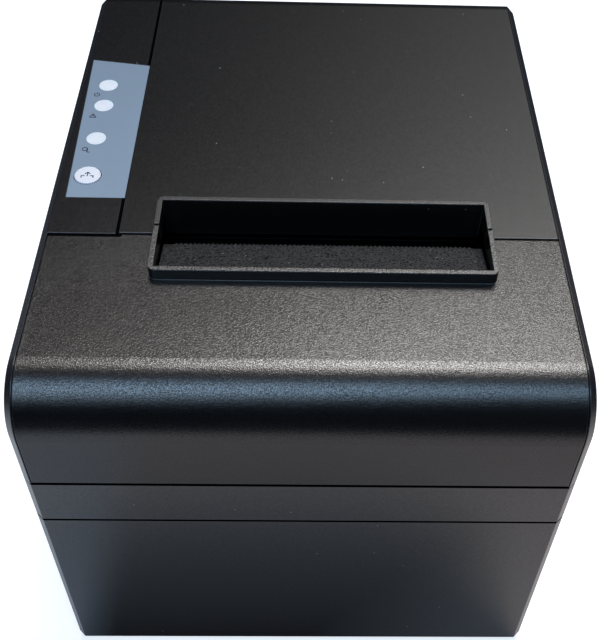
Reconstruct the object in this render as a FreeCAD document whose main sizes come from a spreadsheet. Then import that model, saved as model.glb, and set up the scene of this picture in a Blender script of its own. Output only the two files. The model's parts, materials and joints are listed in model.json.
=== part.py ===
"""Parametric model of a desktop receipt printer for 80 mm paper.

Frame: millimetres, +Z up, the front looks along -Y, the origin is under the middle of the case, on the table.
Every driving size is a named cell of the sheet. Places that follow from those sizes are formulas in PLACES.
"""
import FreeCAD, Part
import os
import re

import Sketcher

SIZES = {
    # outer form
    "width": 145, "depth": 183, "body_top": 128, "foot_height": 2,
    "case_wall": 2.4, "side_wall": 2.2, "floor_wall": 2.5,
    "edge_chamfer": 2, "front_round": 15, "rear_round": 8,
    "parting_drop": 52, "parting_gap": 0.4, "band_drop": 34.3,
    "seam_gap": 0.25, "cover_gap": 0.5, "split_from_front": 58.6, "split_gap": 0.8, "strip_width": 21.3,
    # rim round the paper exit and the tear bar inside it
    "paper_centre": 5.1, "rim_side": 1.35, "rim_depth": 28.5, "rim_from_front": 41.5,
    "rim_height": 3.7, "rim_wall": 1.4, "rim_corner": 2, "chute_depth": 9,
    "tear_tip_from_front": 59.5, "tear_drop": 4, "tear_slope": 13, "tear_thickness": 1,
    "tear_end_gap": 0.6, "tooth_pitch": 1.25, "tooth_depth": 1, "tooth_margin": 2.5,
    # hinge of the paper cover
    "hinge_drop": 31, "hinge_radius": 3.5, "hinge_inset": 0.3, "hinge_clear": 0.4, "hinge_pin_radius": 1.5,
    "running_clear": 0.05, "knuckle_width": 12, "knuckle_inset": 7, "skirt_clear": 4.3,
    "cover_skirt_depth": 8, "cover_skirt_wall": 2, "cover_rib_depth": 4, "cover_rib_wall": 1.6,
    # snap tabs that seat the front cover behind the front band
    "snap_width": 12, "snap_wall": 1.6, "snap_reach": 5,
    # paper well
    "well_side": 6, "well_wall": 2, "well_gap": 1, "well_tail": 16.5, "well_bottom": 35,
    "well_drop": 16, "well_lip_drop": 34, "well_flat": 5, "well_flange": 2, "well_flange_length": 56,
    "well_rib": 0.8, "well_rib_wall": 1.6,
    # platen and print head
    "platen_drop": 24, "platen_from_front": 67.2, "platen_radius": 6, "platen_side": 6,
    "platen_shaft_radius": 3, "bush_radius": 5, "bush_spigot": 4, "nip_gap": 0.3, "fit_gap": 0.2,
    "bracket_wall": 1.5, "bracket_side": 3, "bracket_low": 6, "bracket_depth": 15.5, "bracket_shelf": 7.5,
    "head_side": 4.5, "sink_thickness": 3, "sink_drop": 48, "head_drop": 20, "substrate_height": 16,
    "substrate_thickness": 0.8, "sink_foot": 4.6, "sink_foot_height": 6, "sink_groove": 1,
    "pivot_radius": 1.5,
    "head_spring_width": 9, "head_spring_gauge": 0.5, "head_spring_play": 0.9, "head_spring_pitch": 40,
    # mechanism frame
    "mech_side_room": 50, "plate_wall": 1.5, "mech_floor_drop": 78, "mech_from_front": 7.5, "mech_depth": 68,
    "mech_drop": 16, "mech_rear_lip": 1, "guide_low_drop": 40, "guide_top_drop": 31, "guide_gap": 1.2,
    "guide_play": 1.6, "sensor_width": 6, "sensor_depth": 4, "sensor_height": 5,
    # feed train
    "gear_module": 0.8, "platen_teeth": 20, "idler_teeth": 30, "pinion_teeth": 12, "gear_width": 4,
    "gear_offset": 2.1, "backlash": 0.14, "idler_angle": 266, "second_angle": 192, "pinion_angle": 194,
    "idler_pin_radius": 1.5, "feed_motor_radius": 17.5, "feed_motor_length": 22, "motor_shaft_radius": 1.5,
    "gear_rim": 1.2, "gear_hub": 1.6, "gear_dish": 1.2,
    # cutter
    "blade_drop": 15, "blade_thickness": 1, "blade_length": 46, "blade_side": 4.5, "blade_retreat": 2.1,
    "blade_notch": 1.5, "blade_gap": 0.3, "fixed_blade_depth": 12, "fixed_blade_lead": 0.9,
    "rack_module": 0.8, "rack_pinion_teeth": 14, "rack_drop": 2.5, "rack_width": 3,
    "rack_count": 8, "rack_inset": 1, "cutter_shaft_from_front": 32, "cutter_shaft_radius": 2,
    "cutter_module": 0.6, "cutter_gear_teeth": 40, "cutter_pinion_teeth": 10, "cutter_motor_angle": 240,
    "cutter_motor_radius": 7.5, "cutter_motor_length": 30, "cutter_gear_width": 3, "cutter_gear_offset": 2.4,
    "cutter_low_drop": 28, "cutter_top_drop": 10, "cutter_frame_front": 1, "cutter_frame_rear": 48,
    "spring_bar_height": 5, "spring_bar_gap": 8, "rail_height": 1.2, "rail_lap": 0.9,
    # latch
    "latch_shaft_radius": 2, "latch_from_front": 47.5, "latch_drop": 32, "hook_width": 1.2,
    "hook_hub": 3.6, "lever_width": 2.5, "lever_offset": 1.2, "tab_depth": 14,
    "tab_height": 4, "tab_rise": 9, "tab_from_shaft": 18, "window_margin": 3.2, "window_rise": 8,
    # control strip
    "label_thickness": 0.2, "label_width": 16.5, "label_from_front": 73.1, "label_length": 63.9,
    "label_flare": 1.9, "label_skew": 2.6, "indicator_inset": 9.5, "window_radius": 2.9, "button_radius": 3.8,
    "button_from_front": 82.5, "paper_light_from_front": 99.5, "error_light_from_front": 115.6,
    "power_light_from_front": 126.1, "button_proud": 0.3, "button_flange": 1.2, "button_clear": 0.2,
    "panel_drop": 16, "board_thickness": 1.6, "panel_width": 13, "panel_end": 5.5, "panel_post_radius": 2.5,
    "light_height": 0.9, "light_size": 3, "pipe_flange": 0.8, "switch_size": 6, "switch_height": 2.2,
    "plunger_gap": 0.8, "plunger_radius": 1.7, "plunger_height": 0.5, "stem_radius": 1.5,
    "cover_switch_width": 4.4, "cover_switch_length": 12, "cover_switch_height": 8, "cover_switch_drop": 24,
    "cover_switch_place": 16, "cover_plunger_radius": 1.2,
    # main board, sockets and power switch
    "main_board_height": 10, "main_board_side": 12.5, "main_board_lead": 7, "main_board_tail": 7.5,
    "port_window_side": 16.5, "port_window_low": 9, "port_window_high": 32, "port_plate_wall": 1,
    "port_plate_lap": 2, "port_recess": 1, "port_depth": 16, "port_clear": 0.2, "port_wall": 1.2,
    "power_port_width": 14, "power_port_height": 12, "power_port_bore": 4.6, "power_port_inset": 12,
    "usb_port_width": 12, "usb_port_height": 11,
    "lan_port_width": 16, "lan_port_height": 14,
    "drawer_port_width": 14, "drawer_port_height": 13, "drawer_port_inset": 18, "port_hollow": 11,
    "port_corner": 1.8, "port_key_width": 5.4, "port_key_height": 2.6,
    "rocker_from_rear": 46.5, "rocker_height": 46, "rocker_length": 19, "rocker_width": 13,
    "rocker_depth": 14, "rocker_wall": 1.4, "rocker_pivot_depth": 5, "rocker_pin_radius": 1.2,
    "rocker_tilt": 7,
    "rocker_recess": 0.4, "rocker_pocket": 9,
    # fasteners and feet
    "foot_radius": 6, "foot_seat": 1, "foot_edge": 0.8, "foot_inset": 14,
    "screw_radius": 1.5, "screw_head_radius": 2.8,
    "screw_head_height": 1.8, "screw_clear": 0.2, "post_radius": 4, "post_inset": 5.4, "post_roof": 12,
    "boss_height": 14, "mech_post_radius": 4, "mech_post_inset": 5, "board_post_radius": 3,
    "board_post_inset": 6, "screw_bite": 6,
}

PLACES = {
    # heights that hang from the top, widths that follow the case and places that follow its ends
    "parting_height": "body_top - parting_drop", "band_top": "body_top - band_drop",
    "hinge_height": "body_top - hinge_drop", "platen_height": "body_top - platen_drop",
    "well_top": "body_top - well_drop", "well_lip_top": "body_top - well_lip_drop",
    "sink_bottom": "body_top - sink_drop", "head_top": "body_top - head_drop",
    "mech_floor": "body_top - mech_floor_drop", "mech_top": "body_top - mech_drop",
    "guide_bottom": "body_top - guide_low_drop", "guide_top": "body_top - guide_top_drop",
    "blade_height": "body_top - blade_drop", "cutter_frame_bottom": "body_top - cutter_low_drop",
    "cutter_frame_top": "body_top - cutter_top_drop", "latch_height": "body_top - latch_drop",
    "panel_height": "body_top - panel_drop", "cover_switch_low": "body_top - cover_switch_drop",
    "mech_inner": "width - mech_side_room", "rim_width": "mech_inner - 2 * rim_side",
    "well_width": "mech_inner - 2 * well_side", "platen_length": "mech_inner - 2 * platen_side",
    "bracket_inner": "mech_inner - 2 * bracket_side", "head_length": "mech_inner - 2 * head_side",
    "blade_width": "mech_inner - 2 * blade_side", "well_front": "mech_rear + well_gap",
    "well_rear": "rear_y - well_tail", "well_round": "(well_rear - well_front) / 2 - well_flat",
    "main_board_width": "width - 2 * main_board_side", "main_board_front": "well_front + main_board_lead",
    "main_board_rear": "rear_y - main_board_tail", "port_window_width": "width - 2 * port_window_side",
    "power_port_place": "-port_window_width / 2 + power_port_inset",
    "drawer_port_place": "port_window_width / 2 - drawer_port_inset",
    "port_pitch": "(drawer_port_place - power_port_place) / 3",
    "usb_port_place": "power_port_place + port_pitch", "lan_port_place": "drawer_port_place - port_pitch",
    "rocker_place": "rear_y - rocker_from_rear",
    # faces, edges and axes
    "half_width": "width / 2", "front_y": "-depth / 2", "rear_y": "depth / 2",
    "base_z": "foot_height", "top_z": "body_top", "roof_z": "top_z - case_wall",
    "inner_x": "half_width - side_wall",
    "inner_front": "front_y + case_wall", "inner_rear": "rear_y - case_wall",
    "floor_z": "base_z + floor_wall", "pod_x": "-half_width + strip_width",
    "split_y": "front_y + split_from_front",
    "split_front": "split_y - split_gap / 2", "split_rear": "split_y + split_gap / 2",
    "low_parting": "parting_height - parting_gap / 2", "high_parting": "parting_height + parting_gap / 2",
    "lid_left": "pod_x + seam_gap", "lid_right": "inner_x - seam_gap",
    "lid_bottom": "hinge_height + skirt_clear",
    "rim_left": "paper_centre - rim_width / 2", "rim_right": "paper_centre + rim_width / 2",
    "rim_front": "front_y + rim_from_front", "rim_rear": "rim_front + rim_depth",
    "exit_left": "rim_left + rim_wall", "exit_right": "rim_right - rim_wall",
    "exit_front": "rim_front + rim_wall", "exit_rear": "rim_rear - rim_wall", "rim_top": "top_z + rim_height",
    "hinge_y": "rear_y - hinge_radius - hinge_inset",
    "left_knuckle": "lid_left + knuckle_inset", "right_knuckle": "lid_right - knuckle_inset - knuckle_width",
    "platen_y": "front_y + platen_from_front", "paper_y": "platen_y - platen_radius - nip_gap / 2",
    "well_left": "paper_centre - well_width / 2", "well_right": "paper_centre + well_width / 2",
    "plate_left": "paper_centre - mech_inner / 2", "plate_right": "paper_centre + mech_inner / 2",
    "plate_left_out": "plate_left - plate_wall", "plate_right_out": "plate_right + plate_wall",
    "mech_front": "front_y + mech_from_front", "mech_rear": "mech_front + mech_depth",
    "mech_floor_top": "mech_floor + plate_wall",
    "gear_low": "plate_right_out + gear_offset", "gear_high": "gear_low + gear_width",
    "platen_pitch": "gear_module * platen_teeth / 2", "idler_pitch": "gear_module * idler_teeth / 2",
    "pinion_pitch": "gear_module * pinion_teeth / 2",
    "idler_y": "platen_y + (platen_pitch + idler_pitch) * cos(idler_angle)",
    "idler_z": "platen_height + (platen_pitch + idler_pitch) * sin(idler_angle)",
    "second_y": "idler_y + 2 * idler_pitch * cos(second_angle)",
    "second_z": "idler_z + 2 * idler_pitch * sin(second_angle)",
    "pinion_y": "second_y + (idler_pitch + pinion_pitch) * cos(pinion_angle)",
    "pinion_z": "second_z + (idler_pitch + pinion_pitch) * sin(pinion_angle)",
    "bracket_left": "paper_centre - bracket_inner / 2", "bracket_right": "paper_centre + bracket_inner / 2",
    "bracket_left_out": "bracket_left - bracket_wall", "bracket_right_out": "bracket_right + bracket_wall",
    "bracket_rear": "platen_y + bracket_depth - platen_radius",
    "head_face": "platen_y - platen_radius - nip_gap", "sink_face": "head_face - substrate_thickness",
    "sink_front": "sink_face - sink_thickness", "foot_front": "sink_front - sink_foot",
    "pivot_y": "sink_front - sink_foot / 2", "pivot_z": "sink_bottom + sink_foot_height / 2",
    "head_left": "paper_centre - head_length / 2", "head_right": "paper_centre + head_length / 2",
    "blade_top": "blade_height + blade_thickness", "blade_edge": "paper_y - blade_retreat",
    "blade_left": "paper_centre - blade_width / 2", "blade_right": "paper_centre + blade_width / 2",
    "rack_pitch_z": "blade_height - rack_drop", "rack_pitch_radius": "rack_module * rack_pinion_teeth / 2",
    "cutter_y": "front_y + cutter_shaft_from_front", "cutter_z": "rack_pitch_z - rack_pitch_radius",
    "cutter_centres": "cutter_module * (cutter_gear_teeth + cutter_pinion_teeth) / 2",
    "cutter_motor_y": "cutter_y + cutter_centres * cos(cutter_motor_angle)",
    "cutter_motor_z": "cutter_z + cutter_centres * sin(cutter_motor_angle)",
    "cutter_gear_high": "plate_left_out - cutter_gear_offset",
    "cutter_gear_low": "cutter_gear_high - cutter_gear_width",
    "left_rack": "blade_left + rack_inset", "right_rack": "blade_right - rack_inset - rack_width",
    "fixed_bottom": "blade_top + blade_gap", "fixed_top": "fixed_bottom + blade_thickness",
    "cutter_front": "mech_front + cutter_frame_front", "cutter_rear": "mech_front + cutter_frame_rear",
    "latch_y": "front_y + latch_from_front", "left_hook": "plate_left_out - nip_gap - hook_width",
    "right_hook": "plate_right_out + nip_gap",
    "bush_left": "left_hook", "bush_right": "right_hook + hook_width",
    "lever_low": "gear_high + lever_offset", "lever_high": "lever_low + lever_width",
    "tab_front": "latch_y + tab_from_shaft", "tab_rear": "tab_front + tab_depth",
    "tab_low": "latch_height + tab_rise", "tab_high": "tab_low + tab_height",
    "lid_edge": "half_width - edge_chamfer / 2",
    "label_right": "pod_x", "label_left": "label_right - label_width",
    "label_front": "front_y + label_from_front", "label_rear": "label_front + label_length",
    "indicator_x": "-half_width + indicator_inset", "button_y": "front_y + button_from_front",
    "paper_light_y": "front_y + paper_light_from_front", "error_light_y": "front_y + error_light_from_front",
    "power_light_y": "front_y + power_light_from_front", "button_hole": "button_radius + button_clear",
    "panel_top": "panel_height + board_thickness", "strip_floor": "top_z - label_thickness",
    "panel_front": "label_front - panel_end", "panel_rear": "label_rear + panel_end",
    "board_top": "main_board_height + board_thickness", "port_face": "rear_y - port_recess",
    "port_plate_front": "inner_rear - port_plate_wall",
    "pivot_x": "-half_width + rocker_pivot_depth",
    "post_x": "half_width - post_inset", "post_y": "depth / 2 - post_inset",
    "mech_post_left": "plate_left + mech_post_inset", "mech_post_right": "plate_right - mech_post_inset",
    "mech_post_front": "mech_front + mech_post_inset", "mech_post_rear": "mech_rear - mech_post_inset",
    "board_post_x": "main_board_width / 2 - board_post_inset",
    "board_post_front": "main_board_front + board_post_inset",
    "board_post_rear": "main_board_rear - port_depth - board_post_inset",
    "foot_x": "half_width - foot_inset", "foot_y": "depth / 2 - foot_inset",
}

doc = FreeCAD.newDocument("receipt_printer")
sheet = doc.addObject("Spreadsheet::Sheet", "dims")
for row, (alias, size) in enumerate(SIZES.items(), start=1):
    sheet.set(f"A{row}", alias)
    sheet.set(f"B{row}", str(size))
    sheet.setAlias(f"B{row}", alias)
doc.recompute()
probe = doc.addObject("App::FeaturePython", "probe")
probe.addProperty("App::PropertyFloat", "Value")
pieces = {}


def formula(text):
    """Turn a formula of sizes and places into an expression on the sheet's cells."""
    def swap(match):
        word = match.group(0)
        if word in SIZES:
            return f"dims.{word}"
        if word in PLACES:
            return f"({formula(PLACES[word])})"
        return word
    return re.sub(r"[a-z_]+", swap, str(text))


def number(text):
    """Work a formula out as a plain number, for angles and for shapes that code builds."""
    probe.setExpression("Value", formula(text))
    probe.recompute()
    return probe.Value


def bind(thing, **formulas):
    """Bind properties of an object to formulas; two underscores stand for a dot in the property's path."""
    for path, text in formulas.items():
        thing.setExpression(path.replace("__", "."), formula(text))
    return thing


def move(thing, x, y, z):
    """Bind the place of an object's origin to formulas."""
    return bind(thing, Placement__Base__x=x, Placement__Base__y=y, Placement__Base__z=z)


def less(low, high):
    """Give the formula for the distance from one place to another."""
    return f"({high}) - ({low})"


def block(x, y, z):
    """Make a box between two places on each axis."""
    box = doc.addObject("Part::Box", "block")
    bind(box, Length=less(*x), Width=less(*y), Height=less(*z))
    return move(box, x[0], y[0], z[0])


TURNS = {
    "X": FreeCAD.Rotation(FreeCAD.Vector(0, 1, 0), 90),
    "Y": FreeCAD.Rotation(FreeCAD.Vector(1, 0, 0), -90),
    "Z": FreeCAD.Rotation(),
}


def rod(axis, radius, span, across):
    """Make a cylinder along an axis; across gives its two other coordinates in X, Y, Z order."""
    tube = doc.addObject("Part::Cylinder", "rod")
    tube.Placement = FreeCAD.Placement(FreeCAD.Vector(), TURNS[axis])
    bind(tube, Radius=radius, Height=less(*span))
    places = list(across)
    places.insert("XYZ".index(axis), span[0])
    return move(tube, *places)


def fuse(*shapes):
    """Join shapes into one."""
    joined = doc.addObject("Part::MultiFuse", "fuse")
    joined.Shapes = list(shapes)
    joined.Refine = True
    return joined


def cut(base, *tools):
    """Take the tools away from a base shape."""
    made = doc.addObject("Part::Cut", "cut")
    made.Base = base
    made.Tool = tools[0] if len(tools) == 1 else fuse(*tools)
    made.Refine = True
    return made


def common(first, second):
    """Keep what two shapes share."""
    made = doc.addObject("Part::MultiCommon", "common")
    made.Shapes = [first, second]
    return made


def group(*shapes):
    """Keep like pieces together as separate solids."""
    made = doc.addObject("Part::Compound", "group")
    made.Links = list(shapes)
    return made


def node(shape, label):
    """Name a finished piece."""
    shape.Label = label
    pieces[label] = shape
    return shape


def body():
    """Start a body that is drawn and padded."""
    return doc.addObject("PartDesign::Body", "body")


def sketch(owner, plane, offset, points=(), circles=()):
    """Draw a closed outline and circles on one of a body's own planes, every point tied to its formulas."""
    drawing = owner.newObject("Sketcher::SketchObject", "sketch")
    base = next(item for item in owner.Origin.OriginFeatures if item.Role == f"{plane}_Plane")
    drawing.AttachmentSupport = [(base, "")]
    drawing.MapMode = "FlatFace"
    bind(drawing, AttachmentOffset__Base__z=offset)
    spots = [FreeCAD.Vector(number(u), number(v), 0) for u, v in points]
    count = len(spots)
    for index in range(count):
        drawing.addGeometry(Part.LineSegment(spots[index], spots[(index + 1) % count]))
    for index in range(count):
        drawing.addConstraint(Sketcher.Constraint("Coincident", index, 2, (index + 1) % count, 1))
    for index, pair in enumerate(points):
        tie(drawing, index, 1, pair)
    for u, v, radius in circles:
        middle = FreeCAD.Vector(number(u), number(v), 0)
        index = drawing.addGeometry(Part.Circle(middle, FreeCAD.Vector(0, 0, 1), number(radius)))
        tie(drawing, index, 3, (u, v))
        rule = drawing.addConstraint(Sketcher.Constraint("Radius", index, number(radius)))
        drawing.setExpression(f"Constraints[{rule}]", formula(radius))
    return drawing


def tie(drawing, index, end, pair):
    """Tie one point of a sketch to a pair of formulas."""
    for kind, text in zip(("DistanceX", "DistanceY"), pair):
        rule = drawing.addConstraint(Sketcher.Constraint(kind, index, end, number(text)))
        drawing.setExpression(f"Constraints[{rule}]", formula(text))


def pad(owner, plane, span, points=(), circles=()):
    """Pad an outline from one place to another along the plane's normal axis."""
    start = f"-({span[1]})" if plane == "XZ" else span[0]
    solid = owner.newObject("PartDesign::Pad", "pad")
    solid.Profile = sketch(owner, plane, start, points, circles)
    bind(solid, Length=less(*span))
    doc.recompute()
    return solid


def pocket(owner, plane, span, points=(), circles=()):
    """Cut an outline out of a body from one place to another, and make sure that it cut."""
    start = f"-({span[0]})" if plane == "XZ" else span[1]
    before = owner.Shape.Volume
    hollow = owner.newObject("PartDesign::Pocket", "pocket")
    hollow.Profile = sketch(owner, plane, start, points, circles)
    bind(hollow, Length=less(*span))
    doc.recompute()
    if not owner.Shape.Volume < before:
        raise RuntimeError(f"a pocket of {owner.Name} cut nothing")
    return hollow


def rectangle(u, v):
    """Give the four corners of a rectangle between two pairs of places."""
    return [(u[0], v[0]), (u[1], v[0]), (u[1], v[1]), (u[0], v[1])]


def dress(owner, kind, test, **formulas):
    """Fillet or chamfer the edges of a body's last feature that pass a test."""
    last = owner.Tip
    names = [f"Edge{index}" for index, edge in enumerate(last.Shape.Edges, start=1) if test(edge)]
    made = owner.newObject(f"PartDesign::{kind}", kind.lower())
    made.Base = (last, names)
    bind(made, **formulas)
    doc.recompute()
    return made


def soften(base, radius, test):
    """Round the edges of a Part shape that pass a test."""
    doc.recompute()
    size = number(radius)
    made = doc.addObject("Part::Fillet", "soften")
    made.Base = base
    chosen = [index for index, edge in enumerate(base.Shape.Edges, start=1) if test(edge)]
    made.Edges = [(index, size, size) for index in chosen]
    return made


def along(edge, axis):
    """Say whether an edge is a straight line along an axis."""
    if len(edge.Vertexes) < 2 or edge.Curve.TypeId != "Part::GeomLine":
        return False
    return abs(abs(edge.tangentAt(edge.FirstParameter).dot(axis)) - 1) < 1e-6


EAST = FreeCAD.Vector(1, 0, 0)
NORTH = FreeCAD.Vector(0, 1, 0)
UP = FreeCAD.Vector(0, 0, 1)


def side_form(inset_x, front, rear, low, high, front_radius, rear_radius):
    """Pad the printer's side profile across its width, with the rounds over the front and rear edges."""
    form = body()
    pad(form, "YZ", (f"-({inset_x})", inset_x), rectangle((front, rear), (low, high)))
    front_value = number(front)
    rear_value = number(rear)
    high_value = number(high)

    def upper(edge, place):
        middle = edge.CenterOfMass
        return along(edge, EAST) and abs(middle.y - place) < 1e-6 and abs(middle.z - high_value) < 1e-6
    dress(form, "Fillet", lambda edge: upper(edge, front_value), Radius=front_radius)
    dress(form, "Fillet", lambda edge: upper(edge, rear_value), Radius=rear_radius)
    return form


def make_shell():
    """Make the shell that the case and covers are parts of, and the core that trims what stands inside it."""
    form = side_form("half_width", "front_y", "rear_y", "base_z", "top_z", "front_round", "rear_round")
    half = number("half_width")
    low = number("base_z")

    def rim_edge(edge):
        middle = edge.CenterOfMass
        box = edge.BoundBox
        return box.XLength < 1e-6 and abs(abs(middle.x) - half) < 1e-6 and box.ZMax > low + 1e-6
    dress(form, "Chamfer", rim_edge, Size="edge_chamfer")
    hollow = side_form("inner_x", "inner_front", "inner_rear", "floor_z", "roof_z",
                       "front_round - case_wall", "rear_round - case_wall")
    core = side_form("half_width - side_wall / 2", "front_y + case_wall / 2", "rear_y - case_wall / 2",
                     "base_z", "top_z - case_wall / 2",
                     "front_round - case_wall / 2", "rear_round - case_wall / 2")
    return cut(form, hollow), core


FAR = "2 * (width + depth + body_top)"
ABOVE = f"body_top + {FAR}"


def corner_posts(radius, low, high):
    """Make one upright cylinder at each screw place in the case's corners."""
    return [rod("Z", radius, (low, high), (f"{sx} * post_x", f"{sy} * post_y"))
            for sx in (-1, 1) for sy in (-1, 1)]


def feet_rods(low, high):
    """Make one upright cylinder at each foot's place."""
    return [rod("Z", "foot_radius", (low, high), (f"{sx} * foot_x", f"{sy} * foot_y"))
            for sx in (-1, 1) for sy in (-1, 1)]


def frame_posts(radius, low, high):
    """Make one upright cylinder at each screw place of the mechanism frame."""
    return [rod("Z", radius, (low, high), (x, y))
            for x in ("mech_post_left", "mech_post_right") for y in ("mech_post_front", "mech_post_rear")]


def board_posts(radius, low, high):
    """Make one upright cylinder at each screw place of the main board."""
    return [rod("Z", radius, (low, high), (f"{sx} * board_post_x", y))
            for sx in (-1, 1) for y in ("board_post_front", "board_post_rear")]


def panel_posts(radius, low, high):
    """Make one upright cylinder at each screw place of the control panel's board."""
    return [rod("Z", radius, (low, high), ("indicator_x", y))
            for y in ("panel_front + panel_post_radius", "panel_rear - panel_post_radius")]


def make_lower_case(shell, core):
    """Cut the lower case from the shell, with its posts, foot seats, port window and switch window."""
    tray = common(shell, block((f"-{FAR}", FAR), (f"-{FAR}", FAR), (f"-{FAR}", "low_parting")))
    posts = common(fuse(*corner_posts("post_radius", "base_z", "parting_height")), core)
    tray = fuse(tray, posts, *frame_posts("mech_post_radius", "base_z", "mech_floor"),
                *board_posts("board_post_radius", "base_z", "main_board_height"))
    head_room = "parting_height - post_roof"
    window = block(("-port_window_width / 2", "port_window_width / 2"), ("inner_rear - 1", "rear_y + 1"),
                   ("port_window_low", "port_window_high"))
    switch = block(("-half_width - 1", "-inner_x + 1"),
                   ("rocker_place - rocker_length / 2", "rocker_place + rocker_length / 2"),
                   ("rocker_height - rocker_width / 2", "rocker_height + rocker_width / 2"))
    tools = corner_posts("screw_head_radius + screw_clear", "base_z - 1", head_room)
    tools += corner_posts("screw_radius + screw_clear", "base_z", "parting_height + 1")
    tools += feet_rods("base_z - 1", "base_z + foot_seat")
    tools += frame_posts("screw_radius", "mech_floor - screw_bite", "mech_floor + 1")
    tools += board_posts("screw_radius", "main_board_height - screw_bite + 1", "main_board_height + 1")
    node(cut(tray, window, switch, *tools), "lower_case")


def make_upper_case(shell, core):
    """Cut the upper case from the shell: side walls, front band, control strip and hinge bead."""
    top = common(shell, block((f"-{FAR}", FAR), (f"-{FAR}", FAR), ("high_parting", ABOVE)))
    front_bay = block(("-inner_x", "inner_x"), (f"-{FAR}", "split_y"), ("band_top", ABOVE))
    lid_bay = block(("pod_x", "inner_x"), ("split_y", FAR), ("hinge_height", ABOVE))
    top = cut(top, front_bay, lid_bay)
    pod_wall = block(("pod_x - side_wall", "pod_x"), ("split_rear", "rear_y"), ("high_parting", "top_z"))
    pod_front = block(("-half_width", "pod_x"), ("split_rear", "split_rear + case_wall"),
                      ("band_top", "top_z"))
    walls = common(fuse(pod_wall, pod_front), core)
    bead = rod("X", "hinge_radius", ("pod_x", "inner_x"), ("hinge_y", "hinge_height"))
    boss_top = "parting_height + boss_height"
    bosses = common(fuse(*corner_posts("post_radius", "parting_height", boss_top)), core)
    case = fuse(top, walls, bead, bosses, *panel_posts("panel_post_radius", "panel_top", "roof_z"))
    gaps = [block((f"{x} - hinge_clear", f"{x} + knuckle_width + hinge_clear"),
                  ("inner_rear - depth / 20", FAR), ("hinge_height - hinge_radius - hinge_clear", ABOVE))
            for x in ("left_knuckle", "right_knuckle")]
    bore = rod("X", "hinge_pin_radius", ("pod_x", "inner_x"), ("hinge_y", "hinge_height"))
    recess = label_form("strip_floor", ABOVE)
    lights = [rod("Z", "window_radius", ("panel_top", ABOVE), ("indicator_x", y)) for y in LIGHTS]
    button = rod("Z", "button_hole", ("panel_top", ABOVE), ("indicator_x", "button_y"))
    opening = block(("inner_x - 1", "half_width + 1"),
                    ("tab_front - window_margin", "tab_rear + window_margin"),
                    ("tab_low - window_margin", "tab_high + window_rise"))
    pilots = corner_posts("screw_radius", "parting_height - 1", f"{boss_top} - case_wall")
    pilots += panel_posts("screw_radius", "panel_top - 1", "panel_top + screw_bite")
    node(cut(case, *gaps, bore, recess, *lights, button, opening, *pilots), "upper_case")


LIGHTS = ("paper_light_y", "error_light_y", "power_light_y")


def rim_half(low, high):
    """Give the part of the raised rim round the paper exit that lies between two places along Y."""
    outer = soften(block(("rim_left", "rim_right"), ("rim_front", "rim_rear"), ("roof_z", "rim_top")),
                   "rim_corner", lambda edge: along(edge, UP))
    inner = block(("exit_left", "exit_right"), ("exit_front", "exit_rear"), ("roof_z - 1", "rim_top + 1"))
    return common(cut(outer, inner), block((f"-{FAR}", FAR), (low, high), ("base_z", ABOVE)))


def exit_hole(low, high):
    """Give the hole that the paper exit makes in a cover's roof."""
    return block(("exit_left", "exit_right"), (low, high), ("roof_z - 1", "top_z + 1"))


def make_front_cover(shell, core):
    """Cut the front cover from the shell: face, round and flat top with the front half of the rim."""
    cover = common(shell, block(("-lid_right", "lid_right"), (f"-{FAR}", "split_front"),
                                ("band_top + cover_gap", ABOVE)))
    ribs = [block((f"{x} - cover_rib_wall / 2", f"{x} + cover_rib_wall / 2"), ("front_y", "rim_front"),
                  ("cutter_frame_top + cover_rib_depth / 2", "top_z")) for x in ("rim_left", "rim_right")]
    inside = common(fuse(*ribs), core)
    tabs = [block((f"{side} * half_width / 2 - snap_width / 2", f"{side} * half_width / 2 + snap_width / 2"),
                  ("inner_front", "inner_front + snap_wall"),
                  ("band_top - snap_reach", "band_top + snap_reach")) for side in (-1, 1)]
    cover = cut(cover, exit_hole("exit_front", FAR))
    node(fuse(cover, inside, *tabs, rim_half(f"-{FAR}", "split_front")), "front_cover")


def make_paper_cover(shell, core):
    """Cut the paper cover from the shell, with its half of the rim, chute, skirts, ribs and knuckles."""
    lid = common(shell, block(("lid_left", "lid_right"), ("split_rear", FAR), ("lid_bottom", ABOVE)))
    chute = block(("exit_left", "exit_right"), ("exit_rear", "rim_rear"), ("top_z - chute_depth", "top_z"))
    low = "roof_z - cover_skirt_depth"
    skirts = [block((x, f"{x} + cover_skirt_wall"), ("split_rear", "rear_y"), (low, "top_z"))
              for x in ("lid_left", "lid_right - cover_skirt_wall")]
    ribs = [block((f"{x} - cover_rib_wall / 2", f"{x} + cover_rib_wall / 2"),
                  ("bracket_rear + bracket_wall", "rear_y"), ("roof_z - cover_rib_depth", "top_z"))
            for x in ("well_left", "paper_centre", "well_right")]
    inside = common(fuse(*skirts, *ribs), core)
    arms = []
    bores = []
    for x in ("left_knuckle", "right_knuckle"):
        span = (x, f"{x} + knuckle_width")
        arms.append(rod("X", "hinge_radius", span, ("hinge_y", "hinge_height")))
        arms.append(block(span, ("hinge_y", "rear_y"), ("hinge_height", "lid_bottom + 1")))
        bores.append(rod("X", "hinge_pin_radius + running_clear", span, ("hinge_y", "hinge_height")))
    lid = fuse(cut(lid, exit_hole(f"-{FAR}", "exit_rear")), inside, chute, rim_half("split_rear", FAR), *arms)
    node(cut(lid, *bores), "paper_cover")
    pins = [rod("X", "hinge_pin_radius",
                (f"{x} - knuckle_inset + seam_gap", f"{x} + knuckle_width + knuckle_inset"),
                ("hinge_y", "hinge_height")) for x in ("left_knuckle", "right_knuckle - seam_gap")]
    node(group(*pins), "hinge_pins")


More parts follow.
